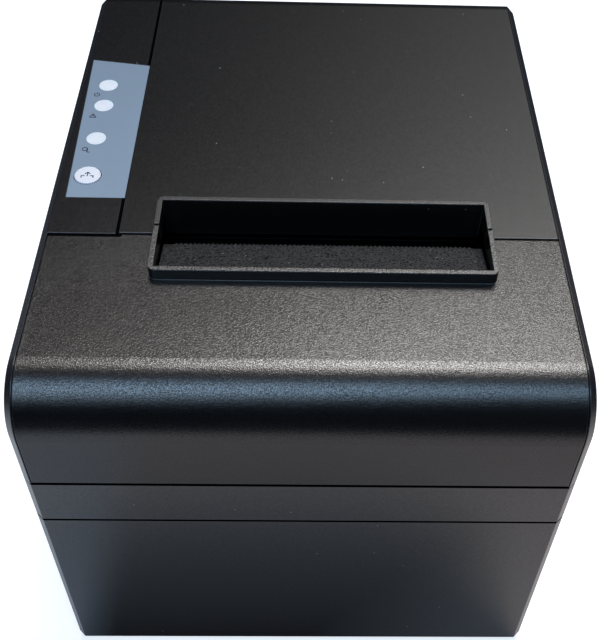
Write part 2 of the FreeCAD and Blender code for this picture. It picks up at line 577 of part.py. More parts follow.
def make_tear_bar():
    """Pad the tear bar flat, with its row of teeth, and lean it from the rim's front wall to the slot."""
    bar = body()
    run = "(front_y + tear_tip_from_front - exit_front)"
    reach = f"({run} / cos(tear_slope) - tear_thickness * tan(tear_slope))"
    left = "exit_left + tear_end_gap"
    right = "exit_right - tear_end_gap"
    count = f"floor((({right}) - ({left}) - 2 * tooth_margin) / tooth_pitch)"
    row = f"tooth_pitch * {count}"
    first = f"(({left}) + ({right}) - {row}) / 2"
    pad(bar, "XY", ("-tear_thickness", "0"), rectangle((left, right), (f"-{reach}", "-tooth_depth")))
    tooth = pad(bar, "XY", ("-tear_thickness", "0"),
                [(first, "-2 * tooth_depth"), (f"{first} + tooth_pitch", "-2 * tooth_depth"),
                 (f"{first} + tooth_pitch", "-tooth_depth"), (f"{first} + tooth_pitch / 2", "0"),
                 (first, "-tooth_depth")])
    teeth = bar.newObject("PartDesign::LinearPattern", "teeth")
    teeth.Originals = [tooth]
    teeth.Direction = (next(item for item in bar.Origin.OriginFeatures if item.Role == "X_Axis"), [""])
    bind(teeth, Length=f"{row} - tooth_pitch", Occurrences=count)
    bar.Tip = teeth
    bar.Placement = FreeCAD.Placement(FreeCAD.Vector(), FreeCAD.Rotation(EAST, -number("tear_slope")))
    move(bar, "0", "front_y + tear_tip_from_front", "top_z - tear_drop")
    node(bar, "tear_bar")


SPIN = FreeCAD.Rotation(FreeCAD.Vector(1, 1, 1), 120)


def gear(teeth, module, bore, span, centre, phase, dish=None):
    """Pad a toothed wheel about the X axis, dished between rim and hub over a span from its low face.

    The phase is the angle from +Y towards +Z at which one tooth points.
    """
    wheel = body()
    width = less(*span)
    pitch = f"({module} * {teeth} / 2)"
    root = f"({pitch} - 1.25 * {module})"
    half = f"(pi * {module} / 4 - backlash / 2)"
    flank = [(f"{root} - 0.2 * {module}", f"{half} + 0.3 * {module}"), (pitch, half),
             (f"{pitch} + 0.95 * {module}", f"{half} - 0.36 * {module}")]
    pad(wheel, "XY", ("0", width), circles=[("0", "0", root), ("0", "0", bore)])
    tooth = pad(wheel, "XY", ("0", width), [(u, f"-({v})") for u, v in flank] + flank[::-1])
    ring = wheel.newObject("PartDesign::PolarPattern", "ring")
    ring.Originals = [tooth]
    ring.Axis = (next(item for item in wheel.Origin.OriginFeatures if item.Role == "Z_Axis"), [""])
    bind(ring, Angle="360", Occurrences=teeth)
    wheel.Tip = ring
    doc.recompute()
    if dish:
        radii = (f"{root} - gear_rim", f"{bore} + gear_hub")
        pocket(wheel, "XY", dish, circles=[("0", "0", radius) for radius in radii])
    wheel.Placement = FreeCAD.Placement(FreeCAD.Vector(), SPIN * FreeCAD.Rotation(UP, phase))
    return move(wheel, span[0], *centre)


def mesh_phase(phase, teeth, direction, follower_teeth):
    """Turn a follower so that its gap meets the driver's tooth along the line of centres."""
    pitch = 360 / number(teeth)
    lag = (number(direction) - phase) % pitch
    follower = number(follower_teeth)
    return number(direction) + 180 + lag * number(teeth) / follower + 180 / follower


def make_feed_train():
    """Make the platen gear, both idlers with their pins, the feed pinion and the feed motor."""
    span = ("gear_low", "gear_high")
    first = number("idler_angle")
    second = mesh_phase(first, "platen_teeth", "idler_angle", "idler_teeth")
    third = mesh_phase(second, "idler_teeth", "second_angle", "idler_teeth")
    last = mesh_phase(third, "idler_teeth", "pinion_angle", "pinion_teeth")
    pin_bore = "idler_pin_radius + running_clear"
    dish = ("gear_width - gear_dish", "gear_width")
    centre = ("platen_y", "platen_height")
    node(gear("platen_teeth", "gear_module", "platen_shaft_radius", span, centre, first), "platen_gear")
    centre = ("idler_y", "idler_z")
    node(gear("idler_teeth", "gear_module", pin_bore, span, centre, second, dish), "idler_gear")
    centre = ("second_y", "second_z")
    node(gear("idler_teeth", "gear_module", pin_bore, span, centre, third, dish), "second_idler_gear")
    pins = [rod("X", "idler_pin_radius", ("plate_right_out", "gear_high + nip_gap"), place)
            for place in (("idler_y", "idler_z"), ("second_y", "second_z"))]
    node(group(*pins), "idler_pins")
    pinion = gear("pinion_teeth", "gear_module", "motor_shaft_radius", span, ("pinion_y", "pinion_z"), last)
    centre = ("pinion_y", "pinion_z")
    shaft = rod("X", "motor_shaft_radius", ("plate_right - 2 * gear_width", "gear_high"), centre)
    node(fuse(pinion, shaft), "feed_pinion")
    can = rod("X", "feed_motor_radius", ("plate_right - feed_motor_length", "plate_right"), centre)
    boss = rod("X", "2.5 * motor_shaft_radius", ("plate_right", "plate_right_out"), centre)
    hole = rod("X", "motor_shaft_radius + running_clear",
               ("plate_right - 2 * gear_width", "plate_right_out"), centre)
    node(cut(fuse(can, boss), hole), "feed_motor")


def make_platen():
    """Make the platen roller, its shaft and bushes, and the bracket that hangs them from the paper cover."""
    centre = ("platen_y", "platen_height")
    span = ("paper_centre - platen_length / 2", "paper_centre + platen_length / 2")
    sleeve = rod("X", "platen_radius", span, centre)
    node(cut(sleeve, rod("X", "platen_shaft_radius", span, centre)), "platen_roller")
    ends = ("bush_left - nip_gap", "gear_high + nip_gap")
    node(rod("X", "platen_shaft_radius", ends, centre), "platen_shaft")
    left = fuse(rod("X", "bush_radius", ("bush_left", "bracket_left_out"), centre),
                rod("X", "bush_spigot", ("bracket_left_out", "bracket_left"), centre))
    right = fuse(rod("X", "bush_radius", ("bracket_right_out", "bush_right"), centre),
                 rod("X", "bush_spigot", ("bracket_right", "bracket_right_out"), centre))
    bore = "platen_shaft_radius + running_clear"
    bushes = [cut(bush, rod("X", bore, ends, centre)) for bush in (left, right)]
    node(group(*bushes), "platen_bushes")
    low = "platen_height - bracket_low"
    width = ("bracket_left_out", "bracket_right_out")
    top = "fixed_top + bracket_wall"
    back = block(width, ("bracket_rear", "bracket_rear + bracket_wall"), (low, "roof_z"))
    shelf = block(width, ("bracket_rear - bracket_shelf", "bracket_rear"), ("fixed_top", top))
    depth = ("platen_y - bush_radius - 2 * fit_gap", "bracket_rear")
    ends = [block(span, depth, (low, top))
            for span in (("bracket_left_out", "bracket_left"), ("bracket_right", "bracket_right_out"))]
    node(cut(fuse(back, shelf, *ends), rod("X", "bush_spigot", width, centre)), "platen_bracket")
    node(block(("blade_left", "blade_right"), ("paper_y + fixed_blade_lead", "paper_y + fixed_blade_depth"),
               ("fixed_bottom", "fixed_top")), "fixed_blade")


def make_mech_frame():
    """Make the folded frame whose side plates cradle the platen's bushes, and the paper guide and sensor."""
    plate = body()
    corner = "mech_top - mech_from_front"
    pad(plate, "YZ", ("plate_left_out", "plate_right_out"),
        [("mech_front", "mech_floor"), ("mech_rear", "mech_floor"),
         ("mech_rear", "platen_height + mech_rear_lip"),
         ("platen_y", "platen_height + mech_rear_lip"), ("platen_y", "mech_top"),
         ("mech_front + mech_from_front", "mech_top"), ("mech_front", corner)])
    width = ("plate_left_out", "plate_right_out")
    inside = block(("plate_left", "plate_right"), ("mech_front - 1", "mech_rear + 1"),
                   ("mech_floor_top", ABOVE))
    cradle = "bush_radius + fit_gap"
    centre = ("platen_y", "platen_height")
    notch = block(width, (f"platen_y - ({cradle})", f"platen_y + ({cradle})"), ("platen_height", ABOVE))
    latch_bore = rod("X", "latch_shaft_radius + running_clear", width, ("latch_y", "latch_height"))
    cutter_bore = rod("X", "cutter_shaft_radius + running_clear", width, ("cutter_y", "cutter_z"))
    pivot_bore = rod("X", "pivot_radius", width, ("pivot_y", "pivot_z"))
    feed_bore = rod("X", "2.5 * motor_shaft_radius", ("plate_right", "plate_right_out"),
                    ("pinion_y", "pinion_z"))
    motor_bore = rod("X", "2.5 * motor_shaft_radius", ("plate_left_out", "plate_left"),
                     ("cutter_motor_y", "cutter_motor_z"))
    screws = frame_posts("screw_radius + screw_clear", "mech_floor - 1", "mech_floor_top + 1")
    node(cut(plate, inside, notch, rod("X", cradle, width, centre), latch_bore, cutter_bore, pivot_bore,
             feed_bore, motor_bore, *screws), "mech_frame")
    front = "head_face + nip_gap + fit_gap"
    guide = block(("plate_left", "plate_right"), (front, "well_front - guide_play"),
                  ("guide_bottom", "guide_top"))
    trough = rod("X", "platen_radius + guide_gap", ("plate_left", "plate_right"), centre)
    top = "platen_height - platen_radius - guide_gap - nip_gap"
    spot = (("paper_centre - sensor_width / 2", "paper_centre + sensor_width / 2"),
            ("platen_y - sensor_depth / 2", "platen_y + sensor_depth / 2"))
    pit = block(*spot, (f"{top} - sensor_height", ABOVE))
    node(cut(guide, trough, pit), "paper_guide")
    node(block(*spot, (f"{top} - sensor_height", top)), "paper_sensor")


def make_print_head():
    """Make the grooved heat sink with its pivot foot, the heating strip, pivot pin and pressure springs."""
    sink = body()
    pad(sink, "YZ", ("head_left", "head_right"),
        [("foot_front", "sink_bottom"), ("sink_face", "sink_bottom"), ("sink_face", "head_top"),
         ("sink_front", "head_top"), ("sink_front", "sink_bottom + sink_foot_height"),
         ("foot_front", "sink_bottom + sink_foot_height")])
    pocket(sink, "YZ", ("head_left", "head_right"),
           circles=[("pivot_y", "pivot_z", "pivot_radius + running_clear")])
    for turn in (2, 5, 8):
        low = f"sink_bottom + sink_foot_height + {turn} * sink_groove"
        pocket(sink, "YZ", ("head_left", "head_right"),
               rectangle(("sink_front", "sink_front + sink_groove"), (low, f"{low} + 1.5 * sink_groove")))
    node(sink, "heat_sink")
    node(block(("head_left", "head_right"), ("sink_face", "head_face"),
               ("head_top - substrate_height", "head_top")), "print_head")
    width = ("plate_left_out", "plate_right_out")
    node(rod("X", "pivot_radius", width, ("pivot_y", "pivot_z")), "head_pivot_pin")
    bows = []
    crest = "sink_front - spring_bar_gap + head_spring_play"
    hollow = f"{crest} + head_spring_gauge"
    for side in (-1, 1):
        x = f"(paper_centre + {side} * head_spring_pitch / 2)"
        outer = [(f"{x} - head_spring_width / 2", "sink_front"), (f"{x} - head_spring_width / 4", crest),
                 (f"{x} + head_spring_width / 4", crest), (f"{x} + head_spring_width / 2", "sink_front")]
        inner = [(f"{x} + head_spring_width / 2 - 1.2 * head_spring_gauge", "sink_front"),
                 (f"{x} + head_spring_width / 4 - head_spring_gauge", hollow),
                 (f"{x} - head_spring_width / 4 + head_spring_gauge", hollow),
                 (f"{x} - head_spring_width / 2 + 1.2 * head_spring_gauge", "sink_front")]
        bow = body()
        pad(bow, "XY", ("cutter_frame_bottom + head_spring_gauge",
                        "cutter_frame_bottom + spring_bar_height - head_spring_gauge"), outer + inner)
        bows.append(bow)
    node(group(*bows), "head_springs")


def rack_outline():
    """Draw a rack whose teeth point down, with a gap over the cutter shaft at rest."""
    pitch = "(pi * rack_module)"
    half = "(pi * rack_module / 4 - backlash / 2)"
    root = "rack_pitch_z + 1.25 * rack_module"
    tip = "rack_pitch_z - 0.95 * rack_module"
    slope = "tan(20)"
    count = round(number("rack_count"))
    front = f"cutter_y - ({count} - 2) * {pitch}"
    rear = f"cutter_y + 2 * {pitch}"
    points = [(rear, "blade_height"), (front, "blade_height"), (front, root)]
    for index in range(2 - count, 2):
        middle = f"cutter_y + ({index} + 0.5) * {pitch}"
        points += [(f"{middle} - {half} - 1.25 * rack_module * {slope}", root),
                   (f"{middle} - {half} + 0.95 * rack_module * {slope}", tip),
                   (f"{middle} + {half} - 0.95 * rack_module * {slope}", tip),
                   (f"{middle} + {half} + 1.25 * rack_module * {slope}", root)]
    return points + [(rear, root)]


def make_cutter():
    """Make the cutter: frame with rails, moving blade on two racks, pinion shaft, gears and motor."""
    blade = body()
    tail = "blade_edge - blade_length"
    pad(blade, "XY", ("blade_height", "blade_top"),
        [("blade_left", tail), ("blade_right", tail), ("blade_right", "blade_edge"),
         ("paper_centre", "blade_edge - blade_notch"), ("blade_left", "blade_edge")])
    for x in ("left_rack", "right_rack"):
        pad(blade, "YZ", (x, f"{x} + rack_width"), rack_outline())
    node(blade, "moving_blade")
    centre = ("cutter_y", "cutter_z")
    node(rod("X", "cutter_shaft_radius", ("cutter_gear_low", "plate_right_out"), centre), "cutter_shaft")
    bore = "cutter_shaft_radius"
    pinions = [gear("rack_pinion_teeth", "rack_module", bore, (x, f"{x} + rack_width"), centre, 90)
               for x in ("left_rack", "right_rack")]
    node(group(*pinions), "rack_pinions")
    span = ("cutter_gear_low", "cutter_gear_high")
    phase = number("cutter_motor_angle")
    wheel = gear("cutter_gear_teeth", "cutter_module", bore, span, centre, phase, ("0", "gear_dish"))
    node(wheel, "cutter_gear")
    motor = ("cutter_motor_y", "cutter_motor_z")
    follow = mesh_phase(phase, "cutter_gear_teeth", "cutter_motor_angle", "cutter_pinion_teeth")
    axle = "motor_shaft_radius"
    pinion = gear("cutter_pinion_teeth", "cutter_module", axle, span, motor, follow)
    depth = "plate_left + 2 * gear_width"
    node(fuse(pinion, rod("X", axle, ("cutter_gear_low", depth), motor)), "cutter_motor_pinion")
    can = rod("X", "cutter_motor_radius", ("plate_left", "plate_left + cutter_motor_length"), motor)
    boss = rod("X", "2.5 * motor_shaft_radius", ("plate_left_out", "plate_left"), motor)
    hole = rod("X", f"{axle} + running_clear", ("plate_left_out", depth), motor)
    node(cut(fuse(can, boss), hole), "cutter_motor")
    box = block(("plate_left", "plate_right"), ("cutter_front", "cutter_rear"),
                ("cutter_frame_bottom", "cutter_frame_top"))
    room = block(("plate_left + plate_wall", "plate_right - plate_wall"), ("cutter_front + plate_wall", FAR),
                 ("cutter_frame_bottom - 1", "cutter_frame_top - plate_wall"))
    high = "blade_height - blade_gap"
    depth = ("cutter_front", "cutter_rear")
    rails = [block(("plate_left", "blade_left + rail_lap"), depth, (f"{high} - rail_height", high)),
             block(("blade_right - rail_lap", "plate_right"), depth, (f"{high} - rail_height", high))]
    bar = block(("plate_left", "plate_right"), ("sink_front - spring_bar_gap - plate_wall",
                                                "sink_front - spring_bar_gap"),
                ("cutter_frame_bottom", "cutter_frame_bottom + spring_bar_height"))
    bore = rod("X", "cutter_shaft_radius + running_clear", ("plate_left", "plate_right"), centre)
    node(cut(fuse(cut(box, room), *rails, bar), bore), "cutter_frame")


def make_latch():
    """Make the latch: shaft, two hooks over the platen's bushes and the release lever with its finger tab."""
    centre = ("latch_y", "latch_height")
    node(rod("X", "latch_shaft_radius", ("left_hook", "lever_high"), centre), "latch_shaft")
    hooks = []
    for x in ("left_hook", "right_hook"):
        span = (x, f"{x} + hook_width")
        hook = body()
        pad(hook, "YZ", span,
            [("latch_y", "latch_height - hook_hub * 0.8"),
             ("platen_y - 1.25 * bush_radius", "platen_height - 0.6 * bush_radius"),
             ("platen_y - bush_radius - 0.8", "platen_height"),
             ("platen_y - 0.8 * bush_radius", "platen_height + 0.76 * bush_radius"),
             ("platen_y - 0.55 * bush_radius", "platen_height + 0.96 * bush_radius"),
             ("platen_y - 0.5 * bush_radius", "platen_height + 1.3 * bush_radius"),
             ("platen_y - 1.1 * bush_radius", "platen_height + 1.25 * bush_radius"),
             ("platen_y - 1.75 * bush_radius", "platen_height + 0.2 * bush_radius"),
             ("latch_y", "latch_height + hook_hub * 0.8")])
        whole = fuse(hook, rod("X", "hook_hub", span, centre))
        hooks.append(cut(whole, rod("X", "latch_shaft_radius", span, centre)))
    node(group(*hooks), "latch_hooks")
    span = ("lever_low", "lever_high")
    arm = body()
    pad(arm, "YZ", span,
        [("latch_y", "latch_height - hook_hub * 0.8"), ("tab_front + tab_depth / 3", "tab_low"),
         ("tab_rear", "tab_low"), ("tab_rear", "tab_high"), ("tab_front", "tab_high"),
         ("latch_y", "latch_height + hook_hub * 0.8")])
    tab = block(("lever_low", "lid_edge"), ("tab_front", "tab_rear"), ("tab_low", "tab_high"))
    flank = number("lever_high")
    tab = soften(tab, "tab_height / 4", lambda edge: along(edge, NORTH) and edge.CenterOfMass.x > flank)
    lever = fuse(arm, tab, rod("X", "hook_hub", span, centre))
    node(cut(lever, rod("X", "latch_shaft_radius", span, centre)), "release_lever")


def make_paper_well():
    """Make the ribbed bucket that holds the paper roll, with a low front lip and flanges in the case."""
    def trough(x, front, rear, low, radius):
        hull = body()
        pad(hull, "YZ", x, rectangle((front, rear), (low, "well_top")))
        floor = number(low)
        dress(hull, "Fillet", lambda edge: along(edge, EAST) and abs(edge.CenterOfMass.z - floor) < 1e-6,
              Radius=radius)
        return hull
    left = "well_left - well_wall"
    right = "well_right + well_wall"
    outer = trough((left, right), "well_front", "well_rear", "well_bottom", "well_round + well_wall")
    inner = trough(("well_left", "well_right"), "well_front + well_wall", "well_rear - well_wall",
                   "well_bottom + well_wall", "well_round")
    inset = "well_wall + well_rib"
    crest = trough(("well_left", "well_right"), f"well_front + {inset}", f"well_rear - ({inset})",
                   f"well_bottom + {inset}", "well_round - well_rib")
    slices = [block((f"{x} - well_rib_wall / 2", f"{x} + well_rib_wall / 2"), (f"-{FAR}", FAR),
                    ("base_z", ABOVE))
              for x in ("paper_centre - well_width / 4", "paper_centre", "paper_centre + well_width / 4")]
    ribs = common(cut(inner, crest), fuse(*slices))
    lip = block((f"-{FAR}", FAR), (f"-{FAR}", "well_front + well_round / 3"), ("well_lip_top", ABOVE))
    middle = "(well_front + well_rear) / 2"
    depth = (f"{middle} - well_flange_length / 2", f"{middle} + well_flange_length / 2")
    deck = ("well_top - well_flange", "well_top")
    flanges = [block(("pod_x", left), depth, deck), block((right, "inner_x"), depth, deck)]
    node(cut(fuse(cut(outer, inner), ribs, *flanges), lip), "paper_well")


def label_form(low, high):
    """Pad the label's outline, which flares a little towards the rear."""
    form = body()
    pad(form, "XY", (low, high),
        [("label_left", "label_front"), ("label_right", "label_front"), ("label_right", "label_rear"),
         ("label_left - label_flare", "label_rear + label_skew")])
    return form


def make_control_panel():
    """Make the label, status windows, feed button and the board with its lights and tact switch."""
    holes = [rod("Z", "window_radius", ("roof_z", ABOVE), ("indicator_x", y)) for y in LIGHTS]
    hole = rod("Z", "button_hole", ("roof_z", ABOVE), ("indicator_x", "button_y"))
    node(cut(label_form("strip_floor", "top_z"), hole, *holes), "control_label")
    pipes = []
    for y in LIGHTS:
        place = ("indicator_x", y)
        pipes.append(fuse(rod("Z", "window_radius", ("panel_top + light_height + nip_gap", "top_z"), place),
                          rod("Z", "window_radius + pipe_flange", ("roof_z - pipe_flange", "roof_z"), place)))
    node(group(*pipes), "status_windows")
    board = block(("indicator_x - panel_width / 2", "indicator_x + panel_width / 2"),
                  ("panel_front", "panel_rear"), ("panel_height", "panel_top"))
    holes = panel_posts("screw_radius + screw_clear", "panel_height - 1", "panel_top + 1")
    node(cut(board, *holes), "panel_board")
    lights = [block(("indicator_x - light_size / 2", "indicator_x + light_size / 2"),
                    (f"{y} - light_size / 2", f"{y} + light_size / 2"),
                    ("panel_top", "panel_top + light_height")) for y in LIGHTS]
    node(group(*lights), "panel_lights")
    place = ("indicator_x", "button_y")
    case = block(("indicator_x - switch_size / 2", "indicator_x + switch_size / 2"),
                 ("button_y - switch_size / 2", "button_y + switch_size / 2"),
                 ("panel_top", "panel_top + switch_height"))
    tip = "panel_top + switch_height + plunger_height"
    node(fuse(case, rod("Z", "plunger_radius", ("panel_top + switch_height", tip), place)), "tact_switch")
    shoulder = "roof_z - nip_gap"
    cap = soften(rod("Z", "button_radius", (f"{shoulder} - button_flange", "top_z + button_proud"), place),
                 "button_proud", lambda edge: edge.CenterOfMass.z > number("top_z"))
    flange = rod("Z", "button_radius + button_flange", (f"{shoulder} - button_flange", shoulder), place)
    stem = rod("Z", "stem_radius", (f"{tip} + plunger_gap", shoulder), place)
    node(fuse(cap, flange, stem), "feed_button")
    spot = "split_rear + cover_switch_place"
    high = "cover_switch_low + cover_switch_height"
    micro = block(("pod_x", "pod_x + cover_switch_width"), (spot, f"{spot} + cover_switch_length"),
                  ("cover_switch_low", high))
    plunger = rod("Z", "cover_plunger_radius", (high, "roof_z - cover_skirt_depth - nip_gap"),
                  ("pod_x + cover_switch_width / 2", f"{spot} + cover_switch_length / 4"))
    node(fuse(micro, plunger), "cover_switch")


PORTS = {"power": "power_socket", "usb": "usb_socket", "lan": "network_socket", "drawer": "drawer_socket"}


def port_span(port, margin):
    """Give a socket's extent along X and Z, grown by a margin."""
    half = f"({port}_port_width / 2 + {margin})"
    return ((f"{port}_port_place - {half}", f"{port}_port_place + {half}"),
            (f"board_top - {margin}", f"board_top + {port}_port_height + {margin}"))


def square_mouth(x, z):
    """Outline the mouth of a square socket, with its two upper corners cut off."""
    return [(x[0], z[0]), (x[1], z[0]), (x[1], f"{z[1]} - port_corner"), (f"{x[1]} - port_corner", z[1]),
            (f"{x[0]} + port_corner", z[1]), (x[0], f"{z[1]} - port_corner")]


def keyed_mouth(x, z):
    """Outline the mouth of a socket for a latched plug, with the key slot for its latch at the bottom."""
    middle = f"({x[0]} + {x[1]}) / 2"
    key = (f"{middle} - port_key_width / 2", f"{middle} + port_key_width / 2")
    step = f"{z[0]} + port_key_height"
    return [(key[0], z[0]), (key[1], z[0]), (key[1], step), (x[1], step), (x[1], z[1]), (x[0], z[1]),
            (x[0], step), (key[0], step)]


def make_boards():
    """Make the main board, its sockets and the plate that frames them in the rear wall."""
    board = block(("-main_board_width / 2", "main_board_width / 2"), ("main_board_front", "main_board_rear"),
                  ("main_board_height", "board_top"))
    holes = board_posts("screw_radius + screw_clear", "main_board_height - 1", "board_top + 1")
    node(cut(board, *holes), "main_board")
    plate = block(("-port_window_width / 2 - port_plate_lap", "port_window_width / 2 + port_plate_lap"),
                  ("port_plate_front", "inner_rear"),
                  ("port_window_low - port_plate_lap", "port_window_high + port_plate_lap"))
    windows = []
    for port in PORTS:
        x, z = port_span(port, "port_clear")
        windows.append(block(x, ("port_plate_front - 1", "inner_rear + 1"), z))
    node(cut(plate, *windows), "interface_plate")
    depth = ("port_face - port_hollow", "port_face")
    for port, label in PORTS.items():
        socket = body()
        pad(socket, "XZ", ("port_face - port_depth", "port_face"), rectangle(*port_span(port, "0")))
        if port == "power":
            middle = ("power_port_place", "board_top + power_port_height / 2")
            pocket(socket, "XZ", depth, circles=[(*middle, "power_port_bore")])
        elif port == "usb":
            pocket(socket, "XZ", depth, square_mouth(*port_span(port, "-port_wall")))
        else:
            pocket(socket, "XZ", depth, keyed_mouth(*port_span(port, "-port_wall")))
        node(socket, label)


def make_power_switch():
    """Make the rocker switch in the left wall, with the rocker lying on its off side."""
    length = "(rocker_length / 2 - port_clear)"
    width = "(rocker_width / 2 - port_clear)"
    case = block(("-half_width + rocker_recess", "-half_width + rocker_depth"),
                 (f"rocker_place - {length}", f"rocker_place + {length}"),
                 (f"rocker_height - {width}", f"rocker_height + {width}"))
    room = block(("-half_width - 1", "-half_width + rocker_pocket"),
                 (f"rocker_place - {length} + rocker_wall", f"rocker_place + {length} - rocker_wall"),
                 (f"rocker_height - {width} + rocker_wall", f"rocker_height + {width} - rocker_wall"))
    pivot = rod("Z", "rocker_pin_radius + running_clear",
                (f"rocker_height - {width}", f"rocker_height + {width}"), ("pivot_x", "rocker_place"))
    node(cut(case, room, pivot), "switch_body")
    rocker = body()
    reach = f"({length} - rocker_wall - 3 * nip_gap)"
    half = f"({width} - rocker_wall - nip_gap)"
    crest = "2 * rocker_pin_radius"
    pad(rocker, "XY", (f"-{half}", half),
        [(crest, f"-{reach} + nip_gap"), (crest, f"{reach} - nip_gap"), (f"-{crest}", reach),
         ("-1.2 * rocker_pin_radius", "0"), (f"-{crest}", f"-{reach}")])
    pad(rocker, "XY", (f"-{width}", width), circles=[("0", "0", "rocker_pin_radius")])
    rocker.Placement = FreeCAD.Placement(FreeCAD.Vector(), FreeCAD.Rotation(UP, -number("rocker_tilt")))
    move(rocker, "pivot_x", "rocker_place", "rocker_height")
    node(rocker, "power_rocker")


def screws(places, head, shank):
    """Make one screw at each place from a head and a shank, given as spans along Z."""
    heads = places("screw_head_radius", *head)
    shanks = places("screw_radius", *shank)
    return group(*[fuse(*pair) for pair in zip(heads, shanks)])


def make_fasteners():
    """Make the feet and the screws of the case, mechanism, main board and control panel."""
    feet = [soften(foot, "foot_edge", lambda edge: edge.CenterOfMass.z < number("foot_edge") / 2)
            for foot in feet_rods("0", "base_z + foot_seat")]
    node(group(*feet), "rubber_feet")
    seat = "parting_height - post_roof"
    node(screws(corner_posts, (f"{seat} - screw_head_height", seat),
                (seat, "parting_height + screw_bite")), "case_screws")
    node(screws(frame_posts, ("mech_floor_top", "mech_floor_top + screw_head_height"),
                ("mech_floor - screw_bite", "mech_floor_top")), "mech_screws")
    node(screws(board_posts, ("board_top", "board_top + screw_head_height"),
                ("main_board_height - screw_bite + 1", "board_top")), "board_screws")
    node(screws(panel_posts, ("panel_height - screw_head_height", "panel_height"),
                ("panel_height", "panel_top + screw_bite")), "panel_screws")


def main():
    """Build every piece, make sure that all of them are sound, and write one STEP file for each."""
    shell, core = make_shell()
    make_lower_case(shell, core)
    make_upper_case(shell, core)
    make_front_cover(shell, core)
    make_paper_cover(shell, core)
    make_tear_bar()
    make_paper_well()
    make_mech_frame()
    make_print_head()
    make_platen()
    make_feed_train()
    make_cutter()
    make_latch()
    make_control_panel()
    make_boards()
    make_power_switch()
    make_fasteners()
    doc.recompute()
    for item in doc.Objects:
        if any(word in item.State for word in ("Invalid", "Error")):
            raise RuntimeError(f"{item.Name} did not build: {item.State}")
    for label, piece in pieces.items():
        shape = piece.Shape
        if shape.isNull() or not shape.isValid() or not shape.Solids:
            raise RuntimeError(f"{label} is not a sound solid")
    os.makedirs("parts", exist_ok=True)
    for label, piece in pieces.items():
        piece.Shape.exportStep(f"parts/{label}.step")
        print(label, len(piece.Shape.Solids), round(piece.Shape.Volume, 1))


if __name__ == "__main__":
    main()
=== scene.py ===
"""Dressed scene of a desktop receipt printer: finishes, small details, studio and camera.

Metres throughout, +Z up. The front of the printer looks along -Y, and the origin is under the
middle of the case.
"""
import json
import logging
import math
from dataclasses import dataclass
from enum import Enum

import bmesh
import bpy
from mathutils import Matrix, Vector

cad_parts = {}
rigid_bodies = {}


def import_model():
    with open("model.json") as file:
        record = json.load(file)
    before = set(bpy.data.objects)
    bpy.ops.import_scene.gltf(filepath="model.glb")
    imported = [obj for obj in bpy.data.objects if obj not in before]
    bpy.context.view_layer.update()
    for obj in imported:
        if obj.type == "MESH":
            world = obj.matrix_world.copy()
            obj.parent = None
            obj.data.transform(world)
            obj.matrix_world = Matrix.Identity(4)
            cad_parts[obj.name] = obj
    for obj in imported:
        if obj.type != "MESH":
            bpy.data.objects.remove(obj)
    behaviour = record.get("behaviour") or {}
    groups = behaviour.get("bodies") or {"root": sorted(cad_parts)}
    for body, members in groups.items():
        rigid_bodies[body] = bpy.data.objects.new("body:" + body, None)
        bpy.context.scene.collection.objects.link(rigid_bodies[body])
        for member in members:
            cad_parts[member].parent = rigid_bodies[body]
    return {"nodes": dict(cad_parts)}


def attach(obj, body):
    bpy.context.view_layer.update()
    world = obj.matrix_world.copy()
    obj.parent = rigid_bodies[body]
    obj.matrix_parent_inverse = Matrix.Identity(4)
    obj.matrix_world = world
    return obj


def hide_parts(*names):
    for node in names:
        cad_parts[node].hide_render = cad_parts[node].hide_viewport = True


for leftover in list(bpy.data.objects):
    bpy.data.objects.remove(leftover)
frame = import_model()

LOG = logging.getLogger("receipt_printer")
MM: float = 0.001
Colour = tuple[float, float, float]
Point = tuple[float, float, float]
Pair = tuple[float, float]
Socket = bpy.types.NodeSocket
FULL: Pair = (0.0, 1.0)


class Axis(Enum):
    """The direction along which a brushed or drawn surface was worked."""

    X = (0.05, 1.0, 1.0)
    Y = (1.0, 0.05, 1.0)
    Z = (1.0, 1.0, 0.05)


class Contrast(Enum):
    """Half width of the part of a noise's values, round 0.5, that is spread out."""

    SOFT = 0.2
    PLAIN = 0.18
    FIRM = 0.14
    HARD = 0.12


class Growth:
    """A node tree that nodes are added to with their inputs in one step."""

    tree: bpy.types.NodeTree

    def add(self, kind: str, inputs: dict | None = None, **settings: object) -> bpy.types.Node:
        """Add a node.

        Args:
            kind: The node's type name.
            inputs: Values or sockets for its inputs, by name or index.
            settings: Properties of the node.

        Returns:
            The node.
        """
        node = self.tree.nodes.new(kind)
        for key, value in settings.items():
            setattr(node, key, value)
        for key, value in (inputs or {}).items():
            if isinstance(value, Socket):
                self.tree.links.new(value, node.inputs[key])
            else:
                node.inputs[key].default_value = value
        return node


